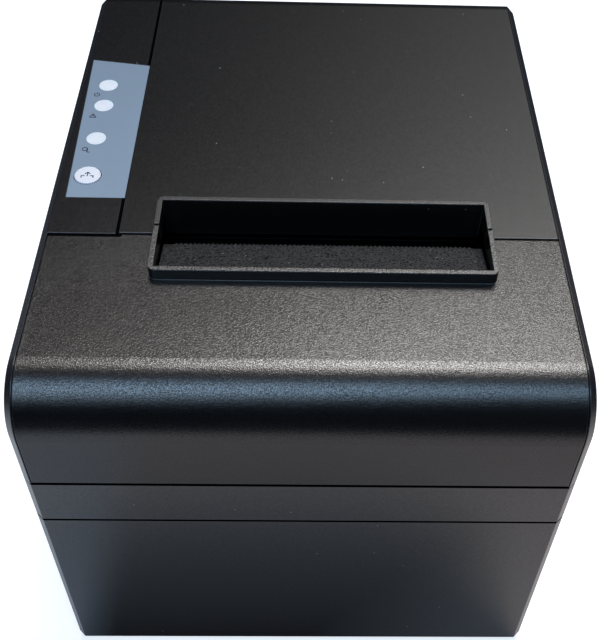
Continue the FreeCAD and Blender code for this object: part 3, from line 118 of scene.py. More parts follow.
class Chart(Growth):
    """A material's node tree with short ways to add and join nodes."""

    def __init__(self, name: str) -> None:
        """Start an empty material.

        Args:
            name: The material's name.
        """
        self.material = bpy.data.materials.new(name)
        self.material.use_nodes = True
        self.tree = self.material.node_tree
        self.tree.nodes.clear()
        self.output = self.add("ShaderNodeOutputMaterial")
        self.coords = self.add("ShaderNodeTexCoord").outputs["Object"]

    @classmethod
    def of_world(cls, world: bpy.types.World) -> "Chart":
        """Start an empty chart on a world's node tree.

        Args:
            world: The world.

        Returns:
            The chart.
        """
        chart = cls.__new__(cls)
        chart.tree = world.node_tree
        chart.tree.nodes.clear()
        chart.output = chart.add("ShaderNodeOutputWorld")
        return chart

    def noise(self, size: float, detail: float = 2.0, where: Socket | None = None,
              rough: float = 0.5) -> Socket:
        """Give a noise whose grains are about this large.

        Args:
            size: Size of a grain in metres.
            detail: Number of finer layers.
            where: Coordinates, or None for the object's own.
            rough: Strength of the finer layers.

        Returns:
            The noise's value.
        """
        node = self.add("ShaderNodeTexNoise", {
            "Vector": where or self.coords, "Scale": 1.0 / size, "Detail": detail, "Roughness": rough})
        return node.outputs["Fac"]

    def spread(self, value: Socket, source: Pair, target: Pair = FULL) -> Socket:
        """Map a value from one range to another, clamped.

        Args:
            value: The value.
            source: Range that it comes in.
            target: Range that it goes to.

        Returns:
            The mapped value.
        """
        node = self.add("ShaderNodeMapRange", {
            "Value": value, "From Min": source[0], "From Max": source[1],
            "To Min": target[0], "To Max": target[1]})
        return node.outputs["Result"]

    def contrast(self, noise: Socket, part: Contrast, target: Pair = FULL) -> Socket:
        """Spread the middle of a noise's values over a range.

        Args:
            noise: The noise's value.
            part: How much of its middle is spread.
            target: Range that it goes to.

        Returns:
            The mapped value.
        """
        return self.spread(noise, (0.5 - part.value, 0.5 + part.value), target)

    def blend(self, factor: Socket, first: object, second: object) -> Socket:
        """Mix two colours.

        Args:
            factor: Share of the second colour.
            first: Colour or socket at 0.
            second: Colour or socket at 1.

        Returns:
            The mixed colour.
        """
        node = self.add("ShaderNodeMix", data_type="RGBA")
        for index, value in ((0, factor), (6, first), (7, second)):
            if isinstance(value, Socket):
                self.tree.links.new(value, node.inputs[index])
            else:
                node.inputs[index].default_value = (*value, 1.0)
        return node.outputs[2]

    def math(self, operation: str, *values: object) -> Socket:
        """Work out one step of arithmetic on sockets or numbers and give the result."""
        node = self.add("ShaderNodeMath", dict(enumerate(values)), operation=operation)
        return node.outputs[0]

    def vector(self, operation: str, *values: object) -> bpy.types.Node:
        """Work out one step of vector arithmetic on sockets or vectors and give its node."""
        return self.add("ShaderNodeVectorMath", dict(enumerate(values)), operation=operation)

    def place(self) -> bpy.types.bpy_prop_collection:
        """Give the object's own coordinates as X, Y and Z."""
        return self.add("ShaderNodeSeparateXYZ", {0: self.coords}).outputs

    def bump(self, height: Socket, depth: float, strength: float,
             under: Socket | None = None) -> Socket:
        """Give the normal of a surface with this height pattern.

        Args:
            height: Height pattern from 0 to 1.
            depth: Depth of the pattern in metres.
            strength: Share of the depth that shows.
            under: Normal that the pattern lies on.

        Returns:
            The normal.
        """
        inputs = {"Height": height, "Distance": depth, "Strength": strength}
        if under is not None:
            inputs["Normal"] = under
        return self.add("ShaderNodeBump", inputs).outputs["Normal"]

    def soften_edges(self, radius: float) -> tuple[Socket, Socket]:
        """Soften the edges of a piece and find where they are.

        Args:
            radius: Radius of the rounding in metres.

        Returns:
            The rounded normal, and a value that rises from 0 to 1 on the edges.
        """
        rounded = self.add("ShaderNodeBevel", {"Radius": radius}, samples=4).outputs["Normal"]
        flat = self.add("ShaderNodeNewGeometry").outputs["Normal"]
        along = self.vector("DOT_PRODUCT", rounded, flat).outputs["Value"]
        level_cosine, edge_cosine = 0.995, 0.8
        return rounded, self.spread(along, (level_cosine, edge_cosine))

    def surface(self, inputs: dict, shine: Socket | None = None) -> bpy.types.Material:
        """Finish the material with a principled surface.

        Args:
            inputs: Values or sockets of the surface by name.
            shine: Specular level where it varies over the surface, or None.

        Returns:
            The material.
        """
        shader = self.add("ShaderNodeBsdfPrincipled", inputs)
        if shine is not None:
            self.tree.links.new(shine, shader.inputs["Specular IOR Level"])
        self.tree.links.new(shader.outputs["BSDF"], self.output.inputs["Surface"])
        return self.material


def scaled(colour: Colour, share: float) -> Colour:
    """Scale a colour's brightness, up to white."""
    return tuple(min(1.0, channel * share) for channel in colour)


@dataclass(frozen=True)
class MouldedPlastic:
    """Injection-moulded plastic with the grain of its mould and faint mottling, with painted
    highlights on its edges and rim top and painted shade at its seams.

    Attributes:
        name: Name of the finish.
        colour: Base colour.
        roughness: Middle of the gloss range.
        grain: Size of the mould's grain in metres.
        depth: Depth of the grain in metres.
        relief: Share of that depth that shows.
        edge: Radius of the moulded edges in metres.
        edge_highlight: Colour multiplier on the edges, a painted highlight.
        specular: Specular level.
        dust: Share of the specks' places that hold a speck of dust.
        pits: Share of the gloss that the hollows of the grain lose.
        polished: Height in metres under which the mould has less grain.
        highlight_height: Height in metres above which the colour is lightened as a painted highlight
            of the rim's rounded top, or 0.
        seam_shade_boxes: Middle and half size of each box, in metres, where colour and gloss are
            darkened as painted shade at a seam.
        cloud: Size of the mottling in metres.
        polish_fade: Height over which the grain comes in above the polished part, in metres.
        polish_grain: Share of the grain that the polished part keeps.
        polish_gloss: Share of the gloss that the polished part keeps.
        highlight_fade: Height over which the painted highlight comes in, in metres.
        highlight_colours: Colours of the painted highlight in the grain's hollows and on its tops.
        speck_cell: Spacing of the specks' places in metres.
        speck_radii: Radius of a speck's core and of its rim, as shares of the spacing.
        speck_colour: Colour of a speck.
    """

    name: str
    colour: Colour
    roughness: float = 0.4
    grain: float = 0.0005
    depth: float = 0.00004
    relief: float = 0.5
    edge: float = 0.0004
    edge_highlight: float = 2.0
    specular: float = 0.5
    dust: float = 0.0
    pits: float = 0.0
    polished: float = -1.0
    highlight_height: float = 0.0
    seam_shade_boxes: tuple[tuple[Point, Point], ...] = ()
    cloud: float = 0.028
    polish_fade: float = 0.008
    polish_grain: float = 0.4
    polish_gloss: float = 0.68
    highlight_fade: float = 0.0003
    highlight_colours: tuple[Colour, Colour] = ((0.01, 0.009, 0.008), (0.14, 0.125, 0.115))
    speck_cell: float = 0.0015
    speck_radii: Pair = (0.1, 0.16)
    speck_colour: Colour = (0.33, 0.33, 0.335)

    def material(self) -> bpy.types.Material:
        """Build the finish.

        Returns:
            The material.
        """
        chart = Chart(self.name)
        rounded, edges = chart.soften_edges(self.edge)
        grain = chart.noise(self.grain, detail=2.5, rough=0.6)
        place = chart.place()
        body = self.tint(chart, grain, edges)
        if self.dust:
            body = self.strew(chart, body)
        # Painted highlight on the rim's rounded top, above the given height.
        if self.highlight_height:
            reach = chart.spread(place["Z"], (self.highlight_height, self.highlight_height + self.highlight_fade))
            painted_highlight = chart.blend(chart.contrast(grain, Contrast.HARD), *self.highlight_colours)
            body = chart.blend(reach, body, painted_highlight)
        height = chart.contrast(grain, Contrast.PLAIN)
        shine = None
        if self.pits:
            fade = (self.polished, self.polished + self.polish_fade)
            share = chart.spread(place["Z"], fade, (self.polish_grain, 1.0))
            height = chart.math("MULTIPLY", height, share)
            shine = self.pitted(chart, grain, share)
            # Painted shade at the seams: darker colour and less gloss inside each box.
            for middle, half in self.seam_shade_boxes:
                seam_shade = self.inside(chart, place, middle, half)
                body = chart.blend(seam_shade, body, scaled(self.colour, 0.3))
                shine = chart.math("MULTIPLY", shine, chart.math("SUBTRACT", 1.0, seam_shade))
        gloss = (self.roughness - 0.05, self.roughness + 0.06)
        return chart.surface({
            "Base Color": body, "Specular IOR Level": self.specular,
            "Roughness": chart.contrast(grain, Contrast.SOFT, gloss),
            "Normal": chart.bump(height, self.depth, self.relief, rounded),
        }, shine)

    def tint(self, chart: Chart, grain: Socket, edges: Socket) -> Socket:
        """Mottle the base colour, lift it on the grain's tops, and paint a highlight on the edges.

        Args:
            chart: The material's node tree.
            grain: The grain's noise.
            edges: Value that is 1 on the edges.

        Returns:
            The colour.
        """
        cloud = chart.noise(self.cloud, detail=3.0)
        body = chart.blend(cloud, scaled(self.colour, 0.8), scaled(self.colour, 1.2))
        tops = chart.spread(grain, (0.55, 0.75), (0.0, 0.6))
        body = chart.blend(tops, body, scaled(self.colour, 1.9))
        # Painted highlight on the edges.
        return chart.blend(edges, body, scaled(self.colour, self.edge_highlight))

    def strew(self, chart: Chart, body: Socket) -> Socket:
        """Strew specks of dust on a colour.

        Args:
            chart: The material's node tree.
            body: Colour under the dust.

        Returns:
            The dusty colour.
        """
        cells = chart.add("ShaderNodeTexVoronoi", {
            "Vector": chart.coords, "Scale": 1.0 / self.speck_cell}).outputs
        speck = chart.spread(cells["Distance"], self.speck_radii, (1.0, 0.0))
        lot = chart.add("ShaderNodeSeparateColor", {0: cells["Color"]}).outputs[0]
        chosen = chart.math("LESS_THAN", lot, self.dust)
        return chart.blend(chart.math("MULTIPLY", speck, chosen), body, self.speck_colour)

    def pitted(self, chart: Chart, grain: Socket, share: Socket) -> Socket:
        """Take gloss from the hollows of the grain.

        Args:
            chart: The material's node tree.
            grain: The grain's noise.
            share: Share of the grain that the mould has at each place.

        Returns:
            The specular level.
        """
        swing = self.specular * self.pits
        ripple = chart.contrast(grain, Contrast.FIRM, (-swing, swing))
        shine = chart.math("MULTIPLY_ADD", ripple, share, self.specular)
        left = chart.spread(share, (self.polish_grain, 1.0), (self.polish_gloss, 1.0))
        return chart.math("MULTIPLY", shine, left)

    @staticmethod
    def inside(chart: Chart, place: bpy.types.bpy_prop_collection, middle: Point,
               half: Point) -> Socket:
        """Give a value that is 1 inside a box.

        Args:
            chart: The material's node tree.
            place: Coordinates as X, Y and Z.
            middle: Middle of the box.
            half: Half of its size.

        Returns:
            The value.
        """
        hits = [chart.math("COMPARE", place[axis], middle[axis], half[axis]) for axis in range(3)]
        return chart.math("MULTIPLY", chart.math("MULTIPLY", hits[0], hits[1]), hits[2])


@dataclass(frozen=True)
class WorkedMetal:
    """Sheet, drawn or ground metal with fine lines along one direction.

    Attributes:
        name: Name of the finish.
        colour: Base colour.
        roughness: Middle of the gloss range.
        along: Direction of the lines.
        line: Width of a line in metres.
        relief: Share of the line depth that shows.
    """

    name: str
    colour: Colour
    roughness: float = 0.35
    along: Axis = Axis.X
    line: float = 0.0003
    relief: float = 0.25

    def material(self) -> bpy.types.Material:
        """Build the finish.

        Returns:
            The material.
        """
        chart = Chart(self.name)
        rounded, edges = chart.soften_edges(radius=0.0002)
        drawn = chart.add("ShaderNodeMapping", {"Vector": chart.coords, "Scale": self.along.value})
        lines = chart.noise(self.line, detail=3.0, where=drawn.outputs[0], rough=0.65)
        cloud = chart.noise(size=0.009, detail=3.0)
        body = chart.blend(cloud, scaled(self.colour, 0.82), scaled(self.colour, 1.1))
        # Painted highlight on the edges.
        body = chart.blend(edges, body, scaled(self.colour, 1.25))
        gloss = (self.roughness - 0.1, self.roughness + 0.1)
        return chart.surface({
            "Base Color": body, "Metallic": 1.0,
            "Roughness": chart.contrast(lines, Contrast.SOFT, gloss),
            "Normal": chart.bump(lines, depth=0.00002, strength=self.relief, under=rounded),
        })


@dataclass(frozen=True)
class Rubber:
    """Matte rubber with a ground skin and dust in its pores.

    Attributes:
        name: Name of the finish.
        colour: Base colour.
        roughness: Middle of the gloss range.
        grain: Size of the ground grain in metres.
    """

    name: str
    colour: Colour
    roughness: float = 0.75
    grain: float = 0.00025

    def material(self) -> bpy.types.Material:
        """Build the finish.

        Returns:
            The material.
        """
        chart = Chart(self.name)
        rounded, edges = chart.soften_edges(radius=0.0003)
        pores = chart.noise(self.grain, detail=3.0, rough=0.7)
        dust = chart.spread(chart.noise(size=0.006, detail=4.0), (0.4, 0.75), (0.0, 0.35))
        body = chart.blend(dust, self.colour, scaled(self.colour, 2.2))
        # Painted highlight on the edges.
        body = chart.blend(edges, body, scaled(self.colour, 1.5))
        gloss = (self.roughness - 0.08, self.roughness + 0.1)
        return chart.surface({
            "Base Color": body, "Specular IOR Level": 0.35,
            "Roughness": chart.contrast(pores, Contrast.SOFT, gloss),
            "Normal": chart.bump(pores, depth=0.00004, strength=0.6, under=rounded),
        })


@dataclass(frozen=True)
class PrintedFilm:
    """Satin plastic film of the control strip, printed from behind.

    Attributes:
        name: Name of the finish.
        colour: Colour of the print.
        far_colour: Colour towards the rear end.
        ends: Place of the front and the rear end along Y, in metres.
        gloss: Range of the roughness.
    """

    name: str
    colour: Colour
    far_colour: Colour
    ends: Pair = (-0.019, 0.047)
    gloss: Pair = (0.36, 0.5)

    def material(self) -> bpy.types.Material:
        """Build the finish.

        Returns:
            The material.
        """
        chart = Chart(self.name)
        rounded, edges = chart.soften_edges(radius=0.00015)
        speck = chart.noise(size=0.00035, detail=2.0)
        cloud = chart.contrast(chart.noise(size=0.012, detail=3.0), Contrast.SOFT, (0.0, 0.25))
        body = chart.blend(chart.spread(chart.place()["Y"], self.ends), self.colour, self.far_colour)
        body = chart.blend(cloud, body, scaled(self.colour, 0.8))
        # Painted highlight on the edges.
        body = chart.blend(edges, body, scaled(self.colour, 1.3))
        return chart.surface({
            "Base Color": body, "Specular IOR Level": 0.4,
            "Roughness": chart.contrast(speck, Contrast.SOFT, self.gloss),
            "Normal": chart.bump(speck, depth=0.00002, strength=0.35, under=rounded),
        })


@dataclass(frozen=True)
class MilkyLens:
    """Milky light pipe with faint moulding rings.

    Attributes:
        name: Name of the finish.
        colour: Colour of the plastic.
        gloss: Range of the roughness.
    """

    name: str
    colour: Colour
    gloss: Pair = (0.24, 0.36)

    def material(self) -> bpy.types.Material:
        """Build the finish.

        Returns:
            The material.
        """
        chart = Chart(self.name)
        cloud = chart.noise(size=0.0025, detail=3.0)
        speck = chart.noise(size=0.0002, detail=2.0)
        body = chart.blend(cloud, scaled(self.colour, 0.9), scaled(self.colour, 1.06))
        return chart.surface({
            "Base Color": body, "Subsurface Weight": 0.25, "Subsurface Scale": 0.001,
            "Roughness": chart.contrast(speck, Contrast.SOFT, self.gloss),
            "Normal": chart.bump(speck, depth=0.00001, strength=0.3),
        })


@dataclass(frozen=True)
class CircuitBoard:
    """Solder-masked board with runs of copper under the mask.

    Attributes:
        name: Name of the finish.
        mask: Colour of the mask over the bare board.
        copper: Colour of the mask over copper.
        pitch: Spacing of the copper runs in metres.
        gloss: Range of the roughness.
    """

    name: str
    mask: Colour
    copper: Colour
    pitch: float = 0.0016
    gloss: Pair = (0.3, 0.42)

    def material(self) -> bpy.types.Material:
        """Build the finish.

        Returns:
            The material.
        """
        chart = Chart(self.name)
        runs = chart.add("ShaderNodeTexVoronoi", {"Vector": chart.coords, "Scale": 0.3 / self.pitch},
                         distance="CHEBYCHEV", feature="DISTANCE_TO_EDGE").outputs["Distance"]
        fine = chart.add("ShaderNodeTexVoronoi", {"Vector": chart.coords, "Scale": 1.0 / self.pitch},
                         distance="MANHATTAN", feature="F1").outputs["Distance"]
        mask = chart.math("MULTIPLY", chart.spread(runs, (0.1, 0.12)),
                          chart.spread(fine, (0.3, 0.34), (1.0, 0.0)))
        skin = chart.noise(size=0.0004, detail=2.0)
        return chart.surface({
            "Base Color": chart.blend(mask, self.mask, self.copper),
            "Roughness": chart.contrast(skin, Contrast.SOFT, self.gloss),
            "Normal": chart.bump(mask, depth=0.00004, strength=0.4),
        })


Finish = MouldedPlastic | WorkedMetal | Rubber | PrintedFilm | MilkyLens | CircuitBoard
# Height of the rim's top, above which a painted highlight lightens the moulded colour.
RIM_CREST: float = 0.1312


class Finishes:
    """Every finish of the printer, built once and shared by the pieces that have it."""

    TABLE: dict[str, Finish] = {finish.name: finish for finish in (
        MouldedPlastic("cover_grain", (0.0065, 0.0065, 0.007), 0.18, 0.00036, 0.000024, 1.0,
                       edge_highlight=8.0, specular=0.77, pits=0.5, polished=0.113, highlight_height=RIM_CREST,
                       # Boxes of painted shade along the seams.
                       seam_shade_boxes=(((0.0, 0.0, 0.09137), (1.0, 1.0, 0.00333)),
                             ((-0.062, -0.0337, 0.128), (0.012, 0.0005, 0.004)))),
        MouldedPlastic("cover_matte", (0.006, 0.006, 0.0063), 0.2, 0.0003, 0.000006, 1.0,
                       edge_highlight=14.0, specular=0.85, dust=0.02, pits=0.12, highlight_height=RIM_CREST),
        MouldedPlastic("case_black", (0.0056, 0.0056, 0.0068), 0.2, 0.00035, 0.000008, 1.0,
                       edge_highlight=6.0, specular=0.85, dust=0.01, pits=0.2,
                       # Boxes of painted shade along the seams.
                       seam_shade_boxes=(((0.0, 0.0, 0.0761), (1.0, 1.0, 0.00045)),
                             ((0.0, -0.0915, 0.09375), (1.0, 0.0015, 0.0002)),
                             ((-0.0514, 0.03, 0.128), (0.0005, 0.0633, 0.004)))),
        MouldedPlastic("well_black", (0.012, 0.012, 0.0125), 0.5, 0.0008, 0.00006, 0.6),
        MouldedPlastic("tear_black", (0.012, 0.012, 0.0128), 0.42, 0.0006, 0.00004, 0.5, 0.0001,
                       specular=0.66, dust=0.2, pits=0.95),
        MouldedPlastic("switch_black", (0.006, 0.006, 0.006), 0.28, 0.0003, 0.00002, 0.3),
        MouldedPlastic("part_black", (0.02, 0.02, 0.021), 0.4, 0.0003, 0.00003, 0.4),
        MouldedPlastic("lever_black", (0.006, 0.006, 0.0066), 0.36, 0.0004, 0.00003, 0.4),
        MouldedPlastic("gear_white", (0.72, 0.71, 0.67), 0.38, 0.0004, 0.00002, 0.3, 0.00015, 1.05),
        MouldedPlastic("button_white", (0.8, 0.8, 0.885), 0.35, 0.0002, 0.00001, 0.2, 0.0002, 1.1),
        MouldedPlastic("head_ceramic", (0.35, 0.3, 0.24), 0.3, 0.0003, 0.00001, 0.2, 0.0001, 1.1),
        MouldedPlastic("light_body", (0.75, 0.74, 0.68), 0.3, 0.0003, 0.00001, 0.2, 0.0001, 1.1),
        MouldedPlastic("mark_ink", (0.03, 0.04, 0.08), 0.5, 0.0002, 0.00001, 0.2, 0.0001, 1.1),
        MouldedPlastic("mark_white", (0.7, 0.7, 0.7), 0.5, 0.0002, 0.00001, 0.2, 0.0001, 1.1),
        WorkedMetal("sheet_zinc", (0.6, 0.61, 0.62), 0.36, Axis.Y, 0.0004),
        WorkedMetal("steel_ground", (0.58, 0.58, 0.6), 0.24, Axis.X, 0.0002),
        WorkedMetal("steel_blade", (0.5, 0.5, 0.52), 0.2, Axis.Y, 0.00015),
        # Black oxide steel, made this dark also as painted shade for the shaded inside of the
        # mechanism.
        WorkedMetal("steel_oxide_and_shade", (0.012, 0.012, 0.013), 0.35, Axis.Y, 0.00015),
        WorkedMetal("alloy_sink", (0.72, 0.73, 0.74), 0.42, Axis.X, 0.0005),
        WorkedMetal("steel_screw", (0.4, 0.4, 0.41), 0.3, Axis.Z, 0.0002),
        WorkedMetal("socket_metal", (0.66, 0.66, 0.66), 0.3, Axis.Y, 0.0002),
        WorkedMetal("contact_gold", (0.85, 0.62, 0.25), 0.22, Axis.Y, 0.0002),
        Rubber("platen_rubber", (0.03, 0.03, 0.032), 0.7, 0.0002),
        Rubber("foot_rubber", (0.015, 0.015, 0.015), 0.85, 0.0003),
        PrintedFilm("label_film", (0.245, 0.315, 0.4), (0.207, 0.268, 0.346)),
        MilkyLens("window_milk", (0.85, 0.86, 0.91)),
        CircuitBoard("board_green", (0.008, 0.06, 0.025), (0.03, 0.13, 0.05)),
    )}

    def __init__(self) -> None:
        """Start with no material built."""
        self.built: dict[str, bpy.types.Material] = {}

    def get(self, name: str) -> bpy.types.Material:
        """Give a finish's material, built on first use.

        Args:
            name: Name of the finish.

        Returns:
            The material.
        """
        if name not in self.built:
            self.built[name] = self.TABLE[name].material()
        return self.built[name]


FINISHES = Finishes()


def paint(finish: str, *nodes: str) -> None:
    """Give carried-over nodes a finish.

    Args:
        finish: Name of the finish.
        nodes: Names of the nodes.
    """
    for name in nodes:
        mesh = frame["nodes"][name].data
        mesh.materials.clear()
        mesh.materials.append(FINISHES.get(finish))
        LOG.info("gave %s the finish %s", name, finish)


def span(node: str) -> tuple[Vector, Vector]:
    """Measure a carried-over node.

    Args:
        node: Name of the node.

    Returns:
        Its low and its high corner.
    """
    corners = [Vector(corner) for corner in frame["nodes"][node].bound_box]
    low = Vector(min(corner[axis] for corner in corners) for axis in range(3))
    high = Vector(max(corner[axis] for corner in corners) for axis in range(3))
    return low, high


def settle(name: str, mesh: bpy.types.Mesh, body: str, *stands_for: str) -> bpy.types.Object:
    """Put a finished mesh in the scene as a piece of a body.

    Args:
        name: Name of the piece.
        mesh: Its mesh, in place.
        body: Body that it rides on.
        stands_for: Carried-over nodes that it takes the place of.

    Returns:
        The piece.
    """
    piece = bpy.data.objects.new(name, mesh)
    bpy.context.scene.collection.objects.link(piece)
    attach(piece, body)
    if stands_for:
        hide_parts(*stands_for)
    LOG.info("added %s on %s", name, body)
    return piece


class Pattern(Growth):
    """A geometry-node tree that repeats one small shape and leaves a plain mesh."""

    def __init__(self, name: str) -> None:
        """Start a tree with one mesh output.

        Args:
            name: Name of the tree and of the mesh that it leaves.
        """
        self.name = name
        self.tree = bpy.data.node_groups.new(name, "GeometryNodeTree")
        self.tree.interface.new_socket("Mesh", in_out="OUTPUT", socket_type="NodeSocketGeometry")
        self.entry = self.tree.nodes.new("NodeGroupInput")
        self.values: dict[str, object] = {}

    def ask(self, name: str, value: object, kind: str = "Vector") -> Socket:
        """Add a named input to the tree.

        Args:
            name: Name of the input.
            value: Value that the mesh is made with.
            kind: Kind of the input's socket.

        Returns:
            The input's socket inside the tree.
        """
        sockets = self.tree.interface
        socket = sockets.new_socket(name, in_out="INPUT", socket_type=f"NodeSocket{kind}")
        self.values[socket.identifier] = value
        return self.entry.outputs[name]

    def bake(self, shapes: Socket, finish: str) -> bpy.types.Mesh:
        """Make the repeated shapes real and give them as one mesh.

        Args:
            shapes: The instances.
            finish: Finish of the mesh.

        Returns:
            The mesh, with no modifier left.
        """
        real = self.add("GeometryNodeRealizeInstances", {0: shapes})
        dressed = self.add("GeometryNodeSetMaterial", {
            0: real.outputs[0], "Material": FINISHES.get(finish)})
        self.add("NodeGroupOutput", {0: dressed.outputs[0]})
        host = bpy.data.objects.new(self.name, bpy.data.meshes.new(self.name))
        bpy.context.scene.collection.objects.link(host)
        grown = host.modifiers.new(self.name, "NODES")
        grown.node_group = self.tree
        for identifier, value in self.values.items():
            grown[identifier] = value
        seen = host.evaluated_get(bpy.context.evaluated_depsgraph_get())
        mesh = bpy.data.meshes.new_from_object(seen)
        bpy.data.objects.remove(host)
        return mesh


@dataclass(frozen=True)
class BarRow:
    """A straight row of equal bars, such as contact wires or grip ridges.

    Attributes:
        name: Name of the row.
        finish: Finish of the bars.
        first: Middle of the first bar.
        step: Way from one bar to the next.
        count: Number of bars.
        size: Size of a bar.
        lean: Turn of each bar about X, in radians.
    """

    name: str
    finish: str
    first: Point
    step: Point
    count: int
    size: Point
    lean: float = 0.0

    def mesh(self) -> bpy.types.Mesh:
        """Build the row.

        Returns:
            The mesh, in place.
        """
        pattern = Pattern(self.name)
        places = pattern.add("GeometryNodeMeshLine", {
            "Count": pattern.ask("Count", self.count, "Int"),
            "Start Location": pattern.ask("First", self.first),
            "Offset": pattern.ask("Step", self.step)})
        bar = pattern.add("GeometryNodeMeshCube", {"Size": pattern.ask("Bar Size", self.size)})
        shapes = pattern.add("GeometryNodeInstanceOnPoints", {
            "Points": places.outputs[0], "Instance": bar.outputs[0],
            "Rotation": pattern.ask("Lean", (self.lean, 0.0, 0.0))})
        return pattern.bake(shapes.outputs[0], self.finish)


@dataclass(frozen=True)
class ScrewSet:
    """Equal pan-head screws with cross recesses, on the corners of a rectangle.

    Attributes:
        node: Carried-over node of the screws.
        heads_up: Whether the heads are at the top.
        head_radius: Radius of a head.
        head_height: Height of a head.
        shank_radius: Radius of a shank.
        recess: Length, width and twice the depth of the recess's arms.
        taper: Radius of a head's top as a share of its radius.
        sides: Number of sides of the turned shapes.
        weld: Distance under which two places are one.
    """

    node: str
    heads_up: bool
    head_radius: float = 0.0028
    head_height: float = 0.0018
    shank_radius: float = 0.0015
    recess: Point = (0.0031, 0.0007, 0.0011)
    taper: float = 0.72
    sides: int = 24
    weld: float = 0.0001

    def mesh(self) -> bpy.types.Mesh:
        """Build the screws from the node's own bounds.

        Returns:
            The mesh, in place.
        """
        low, high = span(self.node)
        middle = (low + high) / 2
        reach = high - low
        way = 1.0 if self.heads_up else -1.0
        face = way * reach.z / 2
        pattern = Pattern(self.node + "_recessed")
        places = pattern.add("GeometryNodeMeshGrid", {
            "Size X": pattern.ask("Pitch X", reach.x - 2 * self.head_radius, "Float"),
            "Size Y": pattern.ask("Pitch Y", reach.y - 2 * self.head_radius, "Float"),
            "Vertices X": 2, "Vertices Y": 2})
        merged = pattern.add("GeometryNodeMergeByDistance", {
            0: places.outputs["Mesh"], "Distance": self.weld})
        seated = pattern.add("GeometryNodeTransform", {
            0: merged.outputs[0], "Translation": pattern.ask("Middle", middle)})
        head = self.lathe(pattern, (self.head_radius, self.head_radius * self.taper),
                          self.head_height, face - way * self.head_height / 2, way)
        shank = self.lathe(pattern, (self.shank_radius, self.shank_radius),
                           reach.z - self.head_height, -way * self.head_height / 2, way)
        arm = pattern.add("GeometryNodeMeshCube", {"Size": pattern.ask("Recess", self.recess)})
        hollow = pattern.add("GeometryNodeMeshBoolean", {0: head.outputs[0]}, operation="DIFFERENCE")
        for turn in (0.0, math.pi / 2):
            placed = pattern.add("GeometryNodeTransform", {
                0: arm.outputs[0], "Translation": (0.0, 0.0, face), "Rotation": (0.0, 0.0, turn)})
            pattern.tree.links.new(placed.outputs[0], hollow.inputs[1])
        screw = pattern.add("GeometryNodeJoinGeometry")
        for part in (hollow, shank):
            pattern.tree.links.new(part.outputs[0], screw.inputs[0])
        shapes = pattern.add("GeometryNodeInstanceOnPoints", {
            "Points": seated.outputs[0], "Instance": screw.outputs[0]})
        return pattern.bake(shapes.outputs[0], "steel_screw")

    def lathe(self, pattern: Pattern, radii: Pair, height: float, middle: float,
              way: float) -> bpy.types.Node:
        """Turn a tapered cylinder.

        Args:
            pattern: Tree that it is made in.
            radii: Radius at the seat end and at the far end.
            height: Its height.
            middle: Height of its middle.
            way: 1 with the far end up, -1 with it down.

        Returns:
            The node that gives it.
        """
        bottom, top = radii if way > 0 else radii[::-1]
        cone = pattern.add("GeometryNodeMeshCone", {
            "Vertices": self.sides, "Radius Top": top, "Radius Bottom": bottom, "Depth": height})
        return pattern.add("GeometryNodeTransform", {
            0: cone.outputs[0], "Translation": (0.0, 0.0, middle - height / 2)})


class Stencil:
    """Flat printed marks, cut as thin plates that stand on a surface.

    Attributes:
        RING_PLATES: Number of plates in a ring or an arc.
    """

    RING_PLATES: int = 20

    def __init__(self, thickness: float = 0.00003) -> None:
        """Start with no mark.

        Args:
            thickness: Thickness of the print in metres.
        """
        self.thickness = thickness
        self.sheet = bmesh.new()

    def plate(self, outline: list[Pair]) -> None:
        """Add one plate.

        Args:
            outline: Its corners, in millimetres on the sheet.
        """
        low = [self.sheet.verts.new((u * MM, v * MM, 0.0)) for u, v in outline]
        high = [self.sheet.verts.new((u * MM, v * MM, self.thickness)) for u, v in outline]
        count = len(outline)
        self.sheet.faces.new(high)
        self.sheet.faces.new(low[::-1])
        for index in range(count):
            after = (index + 1) % count
            self.sheet.faces.new((low[index], low[after], high[after], high[index]))

    def bar(self, start: Pair, end: Pair, width: float) -> None:
        """Add a straight stroke.

        Args:
            start: One end, in millimetres.
            end: The other end.
            width: Width of the stroke.
        """
        tip, tail = Vector(end), Vector(start)
        side = (tip - tail).orthogonal().normalized() * width / 2
        self.plate([tuple(tail + side), tuple(tip + side), tuple(tip - side), tuple(tail - side)])

    def ring(self, middle: Pair, radius: float, width: float,
             sweep: Pair = (0.0, 360.0)) -> None:
        """Add a ring or an arc in short plates.

        Args:
            middle: Middle of the ring, in millimetres.
            radius: Radius to the middle of the stroke.
            width: Width of the stroke.
            sweep: First and last angle, in degrees.
        """
        start, end = (math.radians(angle) for angle in sweep)
        stride = (end - start) / self.RING_PLATES
        inner, outer = radius - width / 2, radius + width / 2
        for index in range(self.RING_PLATES):
            low, high = start + stride * index, start + stride * (index + 1)
            corners = ((outer, low), (outer, high), (inner, high), (inner, low))
            self.plate([(middle[0] + reach * math.cos(angle), middle[1] + reach * math.sin(angle))
                        for reach, angle in corners])

    def mesh(self, name: str, finish: str, place: Matrix) -> bpy.types.Mesh:
        """Give the marks as one mesh.

        Args:
            name: Name of the mesh.
            finish: Finish of the print.
            place: Where the sheet lies.

        Returns:
            The mesh, in place.
        """
        bmesh.ops.recalc_face_normals(self.sheet, faces=self.sheet.faces)
        self.sheet.transform(place)
        mesh = bpy.data.meshes.new(name)
        self.sheet.to_mesh(mesh)
        self.sheet.free()
        mesh.materials.append(FINISHES.get(finish))
        return mesh


@dataclass
class Housing:
    """The case's four plastic shells, hinge pins and feet."""

    def dress(self) -> None:
        """Give the shells their grained plastics."""
        paint("cover_grain", "front_cover")
        paint("cover_matte", "paper_cover")
        paint("case_black", "lower_case", "upper_case")
        paint("steel_ground", "hinge_pins")
        paint("foot_rubber", "rubber_feet")


